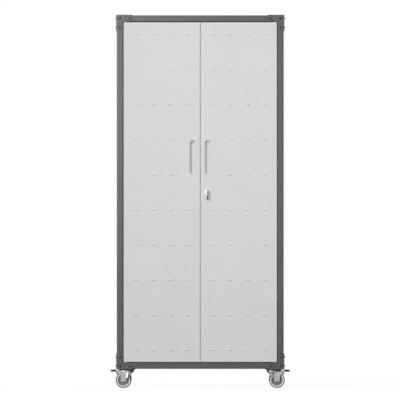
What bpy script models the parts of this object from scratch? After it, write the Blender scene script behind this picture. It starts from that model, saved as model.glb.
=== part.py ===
"""A mobile storage cabinet: a bolted tube frame on casters, with shelves behind two hinged sheet-steel doors.

Metres, +Z up. The doors face -Y. The origin is on the floor, under the middle of the frame.
"""

import math

import bmesh
import bpy
from mathutils import Matrix, Vector

# Frame
FRAME_WIDTH = 0.800
FRAME_DEPTH = 0.400
FRAME_HEIGHT = 1.694
TUBE_SIDE = 0.030
TUBE_WALL = 0.0015
TUBE_CORNER = 0.0025
SEAT = 0.0003  # gap between faces that are screwed together
RUNNING_GAP = 0.0003  # radial gap between a pin and its hole
CUT_MARGIN = 0.004  # how far a cutter reaches past the wall it cuts

# Corner brackets
BRACKET_LEG = 0.076
BRACKET_SHEET = 0.0025
BRACKET_CHAMFER = 0.009
BRACKET_EDGE_INSET = 0.0005
CASTER_PAD_SIDE = 0.090

# Wall, top and floor panels
PANEL_SHEET = 0.001
PANEL_FLANGE = 0.015
PANEL_RECESS = 0.002

# Shelves and their clips
SHELF_COUNT = 4
SHELF_SHEET = 0.001
SHELF_FLANGE = 0.025
SHELF_CLEARANCE = 0.003
SHELF_TO_DOOR = 0.007
CLIP_REACH = 0.014
CLIP_WIDTH = 0.020
CLIP_HEIGHT = 0.016
CLIP_LEDGE = 0.003
CLIP_INSET = 0.040

# Doors
DOOR_GAP = 0.003
DOOR_SEAM = 0.002
DOOR_SHEET = 0.001
DOOR_THICKNESS = 0.018
DOOR_LIP = 0.012
DOOR_EDGE_RADIUS = 0.0016
DOOR_TURN = 0.0019
DASH_ROWS = 10
DASH_COLUMNS = 4
DASH_MARGIN = 0.058
DASH_LENGTH = 0.026
DASH_HEIGHT = 0.0076
DASH_RISE = 0.0022
DASH_KEEP_CLEAR = 0.008

# Hinge pins
PIN_RADIUS = 0.004
PIN_COLLAR_RADIUS = 0.007
PIN_FROM_EDGE = 0.009
PIN_FROM_FRONT = 0.0065
PIN_IN_RAIL = 0.009
PIN_IN_DOOR = 0.010

# Recessed pulls
PULL_WIDTH = 0.030
PULL_HEIGHT = 0.162
PULL_FROM_SEAM = 0.036
PULL_ABOVE_MIDDLE = 0.167
PULL_DEPTH = 0.011
PULL_SHEET = 0.001
PULL_UNDERCUT = 0.006
PULL_FLANGE = 0.004
PULL_TAPER = 0.0015

# Lock and key
LOCK_FROM_SEAM = 0.034
LOCK_RADIUS = 0.0095
LOCK_BEZEL_RADIUS = 0.0115
LOCK_BEZEL = 0.003
LOCK_BEZEL_CHAMFER = 0.0008
LOCK_NUT_ACROSS = 0.026
LOCK_NUT_THICKNESS = 0.004
PLUG_RADIUS = 0.006
PLUG_TAIL_RADIUS = 0.0035
PLUG_TAIL = 0.001
CAM_SHEET = 0.002
CAM_REACH = 0.047
CAM_HUB_RADIUS = 0.009
CAM_TIP_RADIUS = 0.007
CAM_TO_DOOR = 0.0008
KEY_SHEET = 0.002
KEY_HEIGHT = 0.008
KEY_STUB = 0.0085
KEY_PIN_RADIUS = 0.0014
KEY_PIN_FROM_END = 0.003
BOW_THICKNESS = 0.006
BOW_WIDTH = 0.012
BOW_LENGTH = 0.021
BOW_CORNER = 0.004
BOW_BELOW_PIN = 0.015
BOW_NECK_WIDTH = 0.008
BOW_CHEEK = 0.0014
BOW_HEAD = 0.004
BOW_SLOT = 0.006

# Casters
WHEEL_RADIUS = 0.0375
WHEEL_SIDES = 24
TYRE_WIDTH = 0.024
TYRE_SHOULDER = 0.004
TYRE_FACE_INNER = 0.0265
HUB_DISC_RADIUS = 0.025
HUB_DISC_RECESS = 0.002
HUB_BOSS_RADIUS = 0.0095
HUB_WIDTH = 0.0274
AXLE_RADIUS = 0.004
AXLE_HEAD_RADIUS = 0.006
AXLE_HEAD = 0.0012
CASTER_TRAIL = 0.016
CASTER_FROM_EDGE = 0.048
CROWN_CLEARANCE = 0.0015
FORK_SHEET = 0.002
FORK_LEG_WIDTH = 0.027
FORK_LEG_DROP = 0.0085
FORK_LEG_CORNER = 0.006
FORK_LEG_STRAIGHT = 0.024
FORK_WEB_BACK = 0.021
FORK_WEB_HEIGHT = 0.019
FORK_SHOULDER_REACH = 0.050
FORK_SHOULDER_HEIGHT = 0.015
FORK_SHOULDER_RISE = 0.0033
DOME_RADIUS = 0.026
DOME_TOP_RADIUS = 0.0295
DOME_RISE = 0.0039
RACE_RADIUS = 0.034
RACE_LOWER_RADIUS = 0.031
RACE_HEIGHT = 0.0034
RACE_CLEARANCE = 0.002
KINGPIN_RADIUS = 0.005
KINGPIN_HEAD_RADIUS = 0.007
KINGPIN_HEAD = 0.001
PLATE_SIDE = 0.076
PLATE_SHEET = 0.0025
PLATE_CORNER = 0.008

# Brake pedals
PEDAL_PIVOT_REACH = 0.043
PEDAL_PIVOT_DROP = 0.0065
PEDAL_PIN_RADIUS = 0.0025
PEDAL_REACH = 0.077
PEDAL_PAD_WIDTH = 0.038
PEDAL_PAD_CORNER = 0.008
PEDAL_THICKNESS = 0.0065
PEDAL_SLOPE = math.radians(13)
PEDAL_CLEARANCE = 0.0006
PEDAL_BELOW_PLATE = 0.0042
PEDAL_SIDE_CLEARANCE = 0.0005
SHOE_CLEARANCE = 0.0032
SHOE_LOW_ANGLE = math.radians(35)
SHOE_HIGH_ANGLE = math.radians(48)
SHOE_BODY = 0.006

# Facets
CORNER_STEPS = 2
ROUND_SIDES = 16
PIN_SIDES = 12
ARC_STEPS = 8
PAD_STEPS = 4
NUT_SIDES = 6
DASH_SIDES = 8
DASH_RINGS = 4
SMOOTH_ANGLE = math.radians(40)

# Caster heights, from the floor up
TYRE_OUTER = WHEEL_RADIUS / math.cos(math.pi / WHEEL_SIDES)
AXLE_HEIGHT = WHEEL_RADIUS
CROWN_BOTTOM = AXLE_HEIGHT + TYRE_OUTER + CROWN_CLEARANCE
CROWN_TOP = CROWN_BOTTOM + FORK_SHEET
DOME_TOP = CROWN_TOP + DOME_RISE
RACE_BOTTOM = DOME_TOP + RUNNING_GAP
PLATE_BOTTOM = RACE_BOTTOM + RACE_HEIGHT
PLATE_TOP = PLATE_BOTTOM + PLATE_SHEET
PAD_BOTTOM = PLATE_TOP + SEAT
FRAME_BOTTOM = PAD_BOTTOM + BRACKET_SHEET + SEAT
FORK_INNER = HUB_WIDTH / 2 + RUNNING_GAP
FORK_OUTER = FORK_INNER + FORK_SHEET

# Frame planes and the door opening
FRAME_TOP = FRAME_BOTTOM + FRAME_HEIGHT
HALF_WIDTH = FRAME_WIDTH / 2
HALF_DEPTH = FRAME_DEPTH / 2
INNER_X = HALF_WIDTH - TUBE_SIDE
INNER_Y = HALF_DEPTH - TUBE_SIDE
OPENING_BOTTOM = FRAME_BOTTOM + TUBE_SIDE
OPENING_TOP = FRAME_TOP - TUBE_SIDE

# Door planes
DOOR_FRONT = -HALF_DEPTH
DOOR_BACK = DOOR_FRONT + DOOR_THICKNESS
DOOR_BOTTOM = OPENING_BOTTOM + DOOR_GAP
DOOR_TOP = OPENING_TOP - DOOR_GAP
DOOR_MIDDLE = (DOOR_BOTTOM + DOOR_TOP) / 2
DOOR_OUTER_X = INNER_X - DOOR_GAP
PIN_X = DOOR_OUTER_X - PIN_FROM_EDGE
PIN_Y = DOOR_FRONT + PIN_FROM_FRONT

# Lock planes
LOCK_CENTRE = (LOCK_FROM_SEAM, DOOR_MIDDLE)
BEZEL_FRONT = DOOR_FRONT - LOCK_BEZEL - SEAT
CAM_FRONT = DOOR_BACK + CAM_TO_DOOR
CAM_BACK = CAM_FRONT + CAM_SHEET
PLUG_SHOULDER = CAM_FRONT - SEAT
STUB_END = BEZEL_FRONT - KEY_STUB
BOW_PIVOT_Y = STUB_END + KEY_PIN_FROM_END

# Shelf levels
BAY_HEIGHT = (OPENING_TOP - OPENING_BOTTOM) / (SHELF_COUNT + 1)
WALL_INNER_X = HALF_WIDTH - PANEL_RECESS - PANEL_SHEET
WALL_INNER_Y = HALF_DEPTH - PANEL_RECESS - PANEL_SHEET
SHELF_HALF_WIDTH = WALL_INNER_X - SHELF_CLEARANCE
SHELF_HALF_DEPTH = INNER_Y - SHELF_CLEARANCE

SIDES = {"left": -1, "right": 1}
ENDS = {"front": -1, "rear": 1}
LEVELS = {"bottom": -1, "top": 1}


def clear_scene():
    for obj in list(bpy.data.objects):
        bpy.data.objects.remove(obj, do_unlink=True)


def finish(name, colour, roughness, metallic):
    """A painted, plated or moulded surface."""
    made = bpy.data.materials.new(name)
    made.use_nodes = True
    surface = made.node_tree.nodes["Principled BSDF"]
    surface.inputs["Base Color"].default_value = (*colour, 1)
    surface.inputs["Roughness"].default_value = roughness
    surface.inputs["Metallic"].default_value = metallic
    return made


# Shapes


def along(axis, point, height):
    """The place of a section's point, with the section square to an axis and its values in X, Y, Z order."""
    place = list(point)
    place.insert("XYZ".index(axis), height)
    return place


def loft(loops, closed=False):
    """A solid through loops of as many points each, capped at both ends or closed into a ring."""
    shape = bmesh.new()
    rows = [[shape.verts.new(place) for place in loop] for loop in loops]
    count = len(rows[0])
    pairs = list(zip(rows, rows[1:]))
    if closed:
        pairs.append((rows[-1], rows[0]))
    else:
        shape.faces.new(rows[0])
        shape.faces.new(rows[-1])
    for low, high in pairs:
        for i in range(count):
            j = (i + 1) % count
            shape.faces.new((low[i], low[j], high[j], high[i]))
    bmesh.ops.recalc_face_normals(shape, faces=shape.faces)
    return shape


def prism(outline, start, end, axis):
    return loft([[along(axis, point, height) for point in outline] for height in (start, end)])


def block(low, high):
    outline = rectangle(low[0], high[0], low[1], high[1])
    return prism(outline, low[2], high[2], "Z")


def turned(profile, sides, axis, centre=(0, 0), closed=False):
    """A solid turned round an axis, from (radius, height) pairs."""
    loops = []
    for radius, height in profile:
        loops.append([along(axis, point, height) for point in circle(radius, sides, centre)])
    return loft(loops, closed)


def rod(radius, start, end, sides, axis, centre=(0, 0)):
    """A plain round bar, or the cutter for a round hole."""
    return turned([(radius, start), (radius, end)], sides, axis, centre)


def pan(outer, inner, rim, skin_inside, skin_outside, axis):
    """A sheet with an edge flange all round: its outline, the outline inside the flange, and its levels."""
    steps = ((inner, skin_inside), (inner, rim), (outer, rim), (outer, skin_outside))
    return loft([[along(axis, point, height) for point in outline] for outline, height in steps])


# Outlines


def rectangle(low_a, high_a, low_b, high_b):
    return [(low_a, low_b), (high_a, low_b), (high_a, high_b), (low_a, high_b)]


def arc(centre, radius, start, end, steps):
    points = []
    for step in range(steps + 1):
        angle = start + (end - start) * step / steps
        points.append((centre[0] + radius * math.cos(angle), centre[1] + radius * math.sin(angle)))
    return points


def circle(radius, sides, centre=(0, 0)):
    """A regular outline with a flat at its lowest place."""
    half = math.pi / sides
    first = half - math.pi / 2
    return arc(centre, radius, first, first + 2 * math.pi - 2 * half, sides - 1)


def rounded_rectangle(low_a, high_a, low_b, high_b, radius, steps):
    corners = (
        (high_a - radius, low_b + radius, -0.5),
        (high_a - radius, high_b - radius, 0),
        (low_a + radius, high_b - radius, 0.5),
        (low_a + radius, low_b + radius, 1),
    )
    points = []
    for a, b, quarter in corners:
        start = quarter * math.pi
        points += arc((a, b), radius, start, start + math.pi / 2, steps)
    return points


def upright_pill(radius, height, centre):
    """Two half circles joined by straight sides, one above the other."""
    reach = height / 2 - radius
    upper = arc((centre[0], centre[1] + reach), radius, 0, math.pi, ARC_STEPS)
    lower = arc((centre[0], centre[1] - reach), radius, math.pi, 2 * math.pi, ARC_STEPS)
    return upper + lower


# Cutting, joining and naming


def put_in_scene(name, mesh):
    obj = bpy.data.objects.new(name, mesh)
    bpy.context.scene.collection.objects.link(obj)
    return obj


def as_step(shape):
    """A short-lived object that holds a shape while a modifier works on it. The shape is used up."""
    mesh = bpy.data.meshes.new("step")
    shape.to_mesh(mesh)
    shape.free()
    return put_in_scene("step", mesh)


def worked(step):
    """The shape that an object's modifiers make of it. The object is used up."""
    graph = bpy.context.evaluated_depsgraph_get()
    made = bpy.data.meshes.new_from_object(step.evaluated_get(graph))
    shape = bmesh.new()
    shape.from_mesh(made)
    bpy.data.objects.remove(step, do_unlink=True)
    return shape


def boolean(shape, tool, operation):
    """The shape with the tool cut from it, joined to it, or kept only where both are."""
    step = as_step(shape)
    other = as_step(tool)
    modifier = step.modifiers.new("step", "BOOLEAN")
    modifier.operation = operation
    modifier.solver = "EXACT"
    modifier.object = other
    result = worked(step)
    bpy.data.objects.remove(other, do_unlink=True)
    return result


def thickened(surface, sheet):
    """A surface of flat faces given an even thickness on its outside."""
    step = as_step(surface)
    modifier = step.modifiers.new("step", "SOLIDIFY")
    modifier.thickness = sheet
    modifier.offset = 1
    modifier.solidify_mode = "NON_MANIFOLD"
    modifier.nonmanifold_thickness_mode = "CONSTRAINTS"
    return worked(step)


def cut(shape, *tools):
    for tool in tools:
        shape = boolean(shape, tool, "DIFFERENCE")
    return shape


def fused(shape, *tools):
    for tool in tools:
        shape = boolean(shape, tool, "UNION")
    return shape


def mesh_of(name, shape, surface, origin=(0, 0, 0)):
    """A mesh from a shape, with its own origin at a place of the shape."""
    bmesh.ops.translate(shape, verts=shape.verts, vec=-Vector(origin))
    mesh = bpy.data.meshes.new(name)
    shape.to_mesh(mesh)
    shape.free()
    mesh.materials.append(surface)
    mesh.shade_smooth()
    mesh.set_sharp_from_angle(angle=SMOOTH_ANGLE)
    return mesh


def piece(name, mesh, parent=None, place=(0, 0, 0)):
    obj = put_in_scene(name, mesh)
    obj.location = place
    obj.parent = parent
    return obj


# Frame


def tube(axis, start, end, centre):
    """A square tube with open ends, along an axis."""
    loops = []
    half = TUBE_SIDE / 2
    inner_corner = max(TUBE_CORNER - TUBE_WALL, TUBE_CORNER / 4)
    walls = ((0, TUBE_CORNER, (start, end)), (TUBE_WALL, inner_corner, (end, start)))
    for wall, radius, heights in walls:
        reach = half - wall
        low_a, high_a = centre[0] - reach, centre[0] + reach
        low_b, high_b = centre[1] - reach, centre[1] + reach
        outline = rounded_rectangle(low_a, high_a, low_b, high_b, radius, CORNER_STEPS)
        loops += [[along(axis, point, height) for point in outline] for height in heights]
    return loft(loops, closed=True)


def pin_hole(x, z):
    """A cutter for a hinge pin, through the sheet at a height."""
    return rod(PIN_RADIUS + RUNNING_GAP, z - CUT_MARGIN, z + CUT_MARGIN, PIN_SIDES, "Z", (x, PIN_Y))


def build_posts(paint):
    middle = TUBE_SIDE / 2
    for end, end_sign in ENDS.items():
        for side, side_sign in SIDES.items():
            centre = (side_sign * (HALF_WIDTH - middle), end_sign * (HALF_DEPTH - middle))
            name = f"post_{end}_{side}"
            piece(name, mesh_of(name, tube("Z", FRAME_BOTTOM, FRAME_TOP, centre), paint))


def build_rails(paint):
    middle = TUBE_SIDE / 2
    length_x = INNER_X - SEAT
    length_y = INNER_Y - SEAT
    heights = {"bottom": FRAME_BOTTOM + middle, "top": FRAME_TOP - middle}
    door_walls = {"bottom": OPENING_BOTTOM, "top": OPENING_TOP}
    for level, height in heights.items():
        for end, sign in ENDS.items():
            rail = tube("X", -length_x, length_x, (sign * (HALF_DEPTH - middle), height))
            if end == "front":
                rail = cut(rail, pin_hole(-PIN_X, door_walls[level]), pin_hole(PIN_X, door_walls[level]))
            name = f"rail_{level}_{end}"
            piece(name, mesh_of(name, rail, paint))
        for side, sign in SIDES.items():
            rail = tube("Y", -length_y, length_y, (sign * (HALF_WIDTH - middle), height))
            name = f"rail_{level}_{side}"
            piece(name, mesh_of(name, rail, paint))


def bracket_leg_pair():
    """The free edge of an L-shaped face, from the end of its first outer edge round to its second."""
    end = BRACKET_LEG
    wide = TUBE_SIDE - BRACKET_EDGE_INSET
    trim = BRACKET_CHAMFER
    first = [(end, trim), (end, wide - trim), (end - trim, wide)]
    second = [(b, a) for a, b in reversed(first)]
    return first + [(wide, wide)] + second


def pad_edge():
    """The free edge of the square face that takes a caster, in the same order."""
    end = CASTER_PAD_SIDE
    trim = BRACKET_CHAMFER
    first = [(end - trim, 0), (end, trim), (end, end - trim)]
    return first + [(b, a) for a, b in reversed(first)]


def bracket(signs, with_pad):
    """The inner surface of a three-way corner: two upright L faces, and an L or a square at the post's end.

    Its own axes run inwards from the frame's corner, and the signs turn them to the corner's place.
    """
    shape = bmesh.new()
    corner = (signs[0] * HALF_WIDTH, signs[1] * HALF_DEPTH, FRAME_TOP if signs[2] > 0 else FRAME_BOTTOM)

    def vert(place):
        inward = [value - SEAT for value in place]
        return shape.verts.new([c - s * value for c, s, value in zip(corner, signs, inward)])

    middle = vert((0, 0, 0))
    shared = BRACKET_LEG - BRACKET_CHAMFER
    ends = [vert([shared if axis == i else 0 for axis in range(3)]) for i in range(3)]
    for normal in range(3):
        first, second = [axis for axis in range(3) if axis != normal]
        edge = pad_edge() if with_pad and normal == 2 else bracket_leg_pair()
        loop = [middle, ends[first]]
        for a, b in edge:
            place = [0, 0, 0]
            place[first] = a
            place[second] = b
            loop.append(vert(place))
        loop.append(ends[second])
        if normal == 1:
            loop.reverse()
        shape.faces.new(loop)
    if math.prod(signs) < 0:
        bmesh.ops.reverse_faces(shape, faces=shape.faces)
    return shape


def build_brackets(paint):
    for level, level_sign in LEVELS.items():
        for end, end_sign in ENDS.items():
            for side, side_sign in SIDES.items():
                name = f"bracket_{level}_{end}_{side}"
                shape = bracket((side_sign, end_sign, level_sign), level == "bottom")
                piece(name, mesh_of(name, thickened(shape, BRACKET_SHEET), paint))


# Panels and shelves


def inset_rectangle(half_a, low_b, high_b, inset):
    return rectangle(inset - half_a, half_a - inset, low_b + inset, high_b - inset)


def framed_pan(half_a, low_b, high_b, face, inward, axis):
    """A panel set between four tubes, with its flange turned inwards along the axis."""
    outer = inset_rectangle(half_a, low_b, high_b, SEAT)
    inner = inset_rectangle(half_a, low_b, high_b, SEAT + PANEL_SHEET)
    return pan(outer, inner, face + inward * PANEL_FLANGE, face + inward * PANEL_SHEET, face, axis)


def shelf_top(number):
    return OPENING_BOTTOM + number * BAY_HEIGHT


def clip(side_sign, y, top):
    """A ledge on a side wall, with a sloping underside, for one corner of a shelf."""
    root = side_sign * (WALL_INNER_X + PANEL_SHEET / 2)
    tip = side_sign * (WALL_INNER_X - CLIP_REACH)
    outline = [(root, top), (tip, top), (tip, top - CLIP_LEDGE), (root, top - CLIP_HEIGHT)]
    return prism(outline, y - CLIP_WIDTH / 2, y + CLIP_WIDTH / 2, "Y")


def build_panels(paint):
    upright = (OPENING_BOTTOM, OPENING_TOP)
    for side, sign in SIDES.items():
        wall = framed_pan(INNER_Y, *upright, sign * (HALF_WIDTH - PANEL_RECESS), -sign, "X")
        for number in range(1, SHELF_COUNT + 1):
            seat = shelf_top(number) - SHELF_FLANGE - SEAT
            for end_sign in ENDS.values():
                wall = fused(wall, clip(sign, end_sign * (SHELF_HALF_DEPTH - CLIP_INSET), seat))
        name = f"side_panel_{side}"
        piece(name, mesh_of(name, wall, paint))
    rear = framed_pan(INNER_X, *upright, HALF_DEPTH - PANEL_RECESS, -1, "Y")
    piece("back_panel", mesh_of("back_panel", rear, paint))
    top = framed_pan(INNER_X, -INNER_Y, INNER_Y, FRAME_TOP, -1, "Z")
    piece("top_panel", mesh_of("top_panel", top, paint))
    floor = framed_pan(INNER_X, -INNER_Y, INNER_Y, OPENING_BOTTOM, -1, "Z")
    piece("floor_panel", mesh_of("floor_panel", floor, paint))


def shelf_outline(inset):
    """The shelf fills the space between the walls, with its corners notched for the posts."""
    wide = SHELF_HALF_WIDTH - inset
    deep = SHELF_HALF_DEPTH - inset
    narrow = INNER_X - SHELF_CLEARANCE - inset
    front = DOOR_BACK + SHELF_TO_DOOR + inset
    back = WALL_INNER_Y - SHELF_CLEARANCE - inset
    right = [(narrow, front), (narrow, -deep), (wide, -deep), (wide, deep), (narrow, deep), (narrow, back)]
    return right + [(-x, y) for x, y in reversed(right)]


def build_shelves(paint):
    for number in range(1, SHELF_COUNT + 1):
        top = shelf_top(number)
        outer, inner = shelf_outline(0), shelf_outline(SHELF_SHEET)
        tray = pan(outer, inner, top - SHELF_FLANGE, top - SHELF_SHEET, top, "Z")
        name = f"shelf_{number}"
        piece(name, mesh_of(name, tray, paint))


# Doors and their pins


def door_reach(side_sign):
    """A door's two upright edges, the lower one first."""
    return sorted((side_sign * DOOR_SEAM / 2, side_sign * DOOR_OUTER_X))


def door_skin(side_sign):
    """The front sheet, with rounded edges that are turned back a little all round."""
    low_x, high_x = door_reach(side_sign)
    skin = block((low_x, DOOR_FRONT, DOOR_BOTTOM), (high_x, DOOR_FRONT + DOOR_TURN, DOOR_TOP))
    front_faces = [face for face in skin.faces if face.normal.y < -0.5]
    edges = {edge for face in front_faces for edge in face.edges}
    bmesh.ops.bevel(
        skin, geom=list(edges), offset=DOOR_EDGE_RADIUS, segments=CORNER_STEPS, profile=0.5, affect="EDGES"
    )
    low = (low_x + DOOR_SHEET, DOOR_FRONT + DOOR_SHEET, DOOR_BOTTOM + DOOR_SHEET)
    high = (high_x - DOOR_SHEET, DOOR_FRONT + DOOR_TURN + CUT_MARGIN, DOOR_TOP - DOOR_SHEET)
    return cut(skin, block(low, high))


def door_channel(side_sign):
    """The folded edge behind the skin: flanges on all four sides, and lips turned in on the upright ones."""
    inset = DOOR_SHEET + SEAT
    low_x, high_x = door_reach(side_sign)
    low_z, high_z = DOOR_BOTTOM + inset, DOOR_TOP - inset
    front = DOOR_FRONT + inset
    channel = block((low_x + inset, front, low_z), (high_x - inset, DOOR_BACK, high_z))
    left, right = low_x + inset + DOOR_SHEET, high_x - inset - DOOR_SHEET
    lip_left, lip_right = low_x + DOOR_LIP, high_x - DOOR_LIP
    lip = DOOR_BACK - DOOR_SHEET
    before, behind = front - CUT_MARGIN, DOOR_BACK + CUT_MARGIN
    hollow = [(left, before), (right, before), (right, lip), (lip_right, lip), (lip_right, behind)]
    hollow += [(lip_left, behind), (lip_left, lip), (left, lip)]
    return cut(channel, prism(hollow, low_z + DOOR_SHEET, high_z - DOOR_SHEET, "Z"))


def pull_centre(side_sign):
    return side_sign * PULL_FROM_SEAM, DOOR_MIDDLE + PULL_ABOVE_MIDDLE


def dash_places(side_sign):
    """The centres of the pressed-out dashes: a grid over the door, without those that would meet the pull."""
    first_x = DOOR_SEAM / 2 + DASH_MARGIN
    last_x = DOOR_OUTER_X - DASH_MARGIN
    first_z = DOOR_BOTTOM + DASH_MARGIN
    last_z = DOOR_TOP - DASH_MARGIN
    pull_x, pull_z = pull_centre(side_sign)
    near_x = (PULL_WIDTH + DASH_LENGTH) / 2 + DASH_KEEP_CLEAR
    near_z = (PULL_HEIGHT + DASH_HEIGHT) / 2 + DASH_KEEP_CLEAR
    places = []
    for row in range(DASH_ROWS):
        z = first_z + (last_z - first_z) * row / (DASH_ROWS - 1)
        for column in range(DASH_COLUMNS):
            x = side_sign * (first_x + (last_x - first_x) * column / (DASH_COLUMNS - 1))
            if abs(x - pull_x) > near_x or abs(z - pull_z) > near_z:
                places.append((x, z))
    return places


def dashes(side_sign):
    """Low lens-shaped rises, rooted inside the door's skin."""
    group = bmesh.new()
    root = DOOR_FRONT + DOOR_SHEET / 2
    rise = DASH_RISE + DOOR_SHEET / 2
    size = Matrix.Diagonal((DASH_LENGTH / 2, rise, DASH_HEIGHT / 2, 1))
    facing = Matrix.Rotation(math.pi / 2, 4, "X")
    for x, z in dash_places(side_sign):
        place = Matrix.Translation((x, root, z))
        bmesh.ops.create_uvsphere(
            group, u_segments=DASH_SIDES, v_segments=DASH_RINGS, radius=1, matrix=place @ size @ facing
        )
    whole = group.verts[:] + group.edges[:] + group.faces[:]
    bmesh.ops.bisect_plane(group, geom=whole, plane_co=(0, root, 0), plane_no=(0, 1, 0), clear_outer=True)
    rims = [edge for edge in group.edges if edge.is_boundary]
    bmesh.ops.edgeloop_fill(group, edges=rims)
    bmesh.ops.recalc_face_normals(group, faces=group.faces)
    return group


def build_door(side, paint):
    sign = SIDES[side]
    before, after = DOOR_FRONT - CUT_MARGIN, DOOR_FRONT + DOOR_SHEET + CUT_MARGIN
    mouth = upright_pill(PULL_WIDTH / 2, PULL_HEIGHT, pull_centre(sign))
    skin = cut(door_skin(sign), prism(mouth, before, after, "Y"))
    if side == "right":
        skin = cut(skin, rod(LOCK_RADIUS + RUNNING_GAP, before, after, ROUND_SIDES, "Y", LOCK_CENTRE))
    skin = fused(skin, dashes(sign))
    name = f"door_{side}"
    hinge = (sign * PIN_X, PIN_Y, DOOR_MIDDLE)
    door = piece(name, mesh_of(name, skin, paint, hinge), place=hinge)
    channel = cut(door_channel(sign), pin_hole(sign * PIN_X, DOOR_TOP), pin_hole(sign * PIN_X, DOOR_BOTTOM))
    name = f"door_channel_{side}"
    piece(name, mesh_of(name, channel, paint, hinge), door)
    return door


def build_pull(side, door, paint):
    """A cup behind the skin, wider than its opening so that fingers hook behind the edge."""
    sign = SIDES[side]
    rim = DOOR_FRONT + DOOR_SHEET + SEAT
    floor = DOOR_FRONT + PULL_DEPTH
    mouth = PULL_WIDTH / 2 + PULL_UNDERCUT
    steps = (
        (mouth - PULL_TAPER, floor),
        (mouth, rim),
        (mouth + PULL_FLANGE, rim),
        (mouth + PULL_FLANGE, rim + PULL_SHEET),
        (mouth + PULL_SHEET, rim + PULL_SHEET),
        (mouth + PULL_SHEET - PULL_TAPER, floor + PULL_SHEET),
    )
    loops = []
    for radius, y in steps:
        height = PULL_HEIGHT - PULL_WIDTH + 2 * radius
        outline = upright_pill(radius, height, pull_centre(sign))
        loops.append([along("Y", point, y) for point in outline])
    name = f"pull_cup_{side}"
    piece(name, mesh_of(name, loft(loops), paint, door.location), door)


def build_hinge_pins(steel):
    walls = {"bottom": (OPENING_BOTTOM, 1), "top": (OPENING_TOP, -1)}
    for side, side_sign in SIDES.items():
        for level, (wall, inward) in walls.items():
            collar_start = wall + inward * SEAT
            collar_end = wall + inward * (DOOR_GAP - RUNNING_GAP)
            profile = [
                (PIN_RADIUS, wall - inward * PIN_IN_RAIL),
                (PIN_RADIUS, collar_start),
                (PIN_COLLAR_RADIUS, collar_start),
                (PIN_COLLAR_RADIUS, collar_end),
                (PIN_RADIUS, collar_end),
                (PIN_RADIUS, wall + inward * (DOOR_GAP + PIN_IN_DOOR)),
            ]
            name = f"hinge_pin_{level}_{side}"
            shape = turned(profile, PIN_SIDES, "Z", (side_sign * PIN_X, PIN_Y))
            piece(name, mesh_of(name, shape, steel))


# Lock and key


def build_lock_housing(door, chrome):
    """The lock's turned body with its nut behind the skin, in one piece."""
    bore = PLUG_RADIUS + RUNNING_GAP
    profile = [
        (bore, BEZEL_FRONT),
        (LOCK_BEZEL_RADIUS - LOCK_BEZEL_CHAMFER, BEZEL_FRONT),
        (LOCK_BEZEL_RADIUS, BEZEL_FRONT + LOCK_BEZEL_CHAMFER),
        (LOCK_BEZEL_RADIUS, DOOR_FRONT - SEAT),
        (LOCK_RADIUS, DOOR_FRONT - SEAT),
        (LOCK_RADIUS, DOOR_BACK),
        (bore, DOOR_BACK),
    ]
    housing = turned(profile, ROUND_SIDES, "Y", LOCK_CENTRE, closed=True)
    start = DOOR_FRONT + DOOR_SHEET + SEAT
    end = start + LOCK_NUT_THICKNESS
    nut = rod(LOCK_NUT_ACROSS / 2 / math.cos(math.pi / NUT_SIDES), start, end, NUT_SIDES, "Y", LOCK_CENTRE)
    inside_wall = (bore + LOCK_RADIUS) / 2
    nut = cut(nut, rod(inside_wall, start - CUT_MARGIN, end + CUT_MARGIN, ROUND_SIDES, "Y", LOCK_CENTRE))
    piece("lock_housing", mesh_of("lock_housing", fused(housing, nut), chrome, door.location), door)


def build_lock_plug(door, chrome):
    """The turning plug with the key's blade in it, and the cam on its tail, which reaches behind the edge."""
    x, z = LOCK_CENTRE
    face = BEZEL_FRONT + LOCK_BEZEL_CHAMFER
    profile = [
        (PLUG_RADIUS, face),
        (PLUG_RADIUS, PLUG_SHOULDER),
        (PLUG_TAIL_RADIUS, PLUG_SHOULDER),
        (PLUG_TAIL_RADIUS, CAM_BACK + PLUG_TAIL),
    ]
    plug = turned(profile, ROUND_SIDES, "Y", LOCK_CENTRE)
    half = KEY_SHEET / 2
    blade = block((x - half, STUB_END, z - KEY_HEIGHT / 2), (x + half, face + CUT_MARGIN, z + KEY_HEIGHT / 2))
    eye = KEY_PIN_RADIUS + RUNNING_GAP
    blade = cut(blade, rod(eye, x - CUT_MARGIN, x + CUT_MARGIN, PIN_SIDES, "X", (BOW_PIVOT_Y, z)))
    tip = (x, z - CAM_REACH + CAM_TIP_RADIUS)
    outline = arc(LOCK_CENTRE, CAM_HUB_RADIUS, 0, math.pi, ARC_STEPS)
    outline += arc(tip, CAM_TIP_RADIUS, math.pi, 2 * math.pi, ARC_STEPS)
    cam = prism(outline, CAM_FRONT, CAM_BACK, "Y")
    axis = Vector((x, BEZEL_FRONT, z))
    plug_mesh = mesh_of("lock_plug", fused(plug, blade, cam), chrome, axis)
    return piece("lock_plug", plug_mesh, door, axis - door.location), axis


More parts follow.
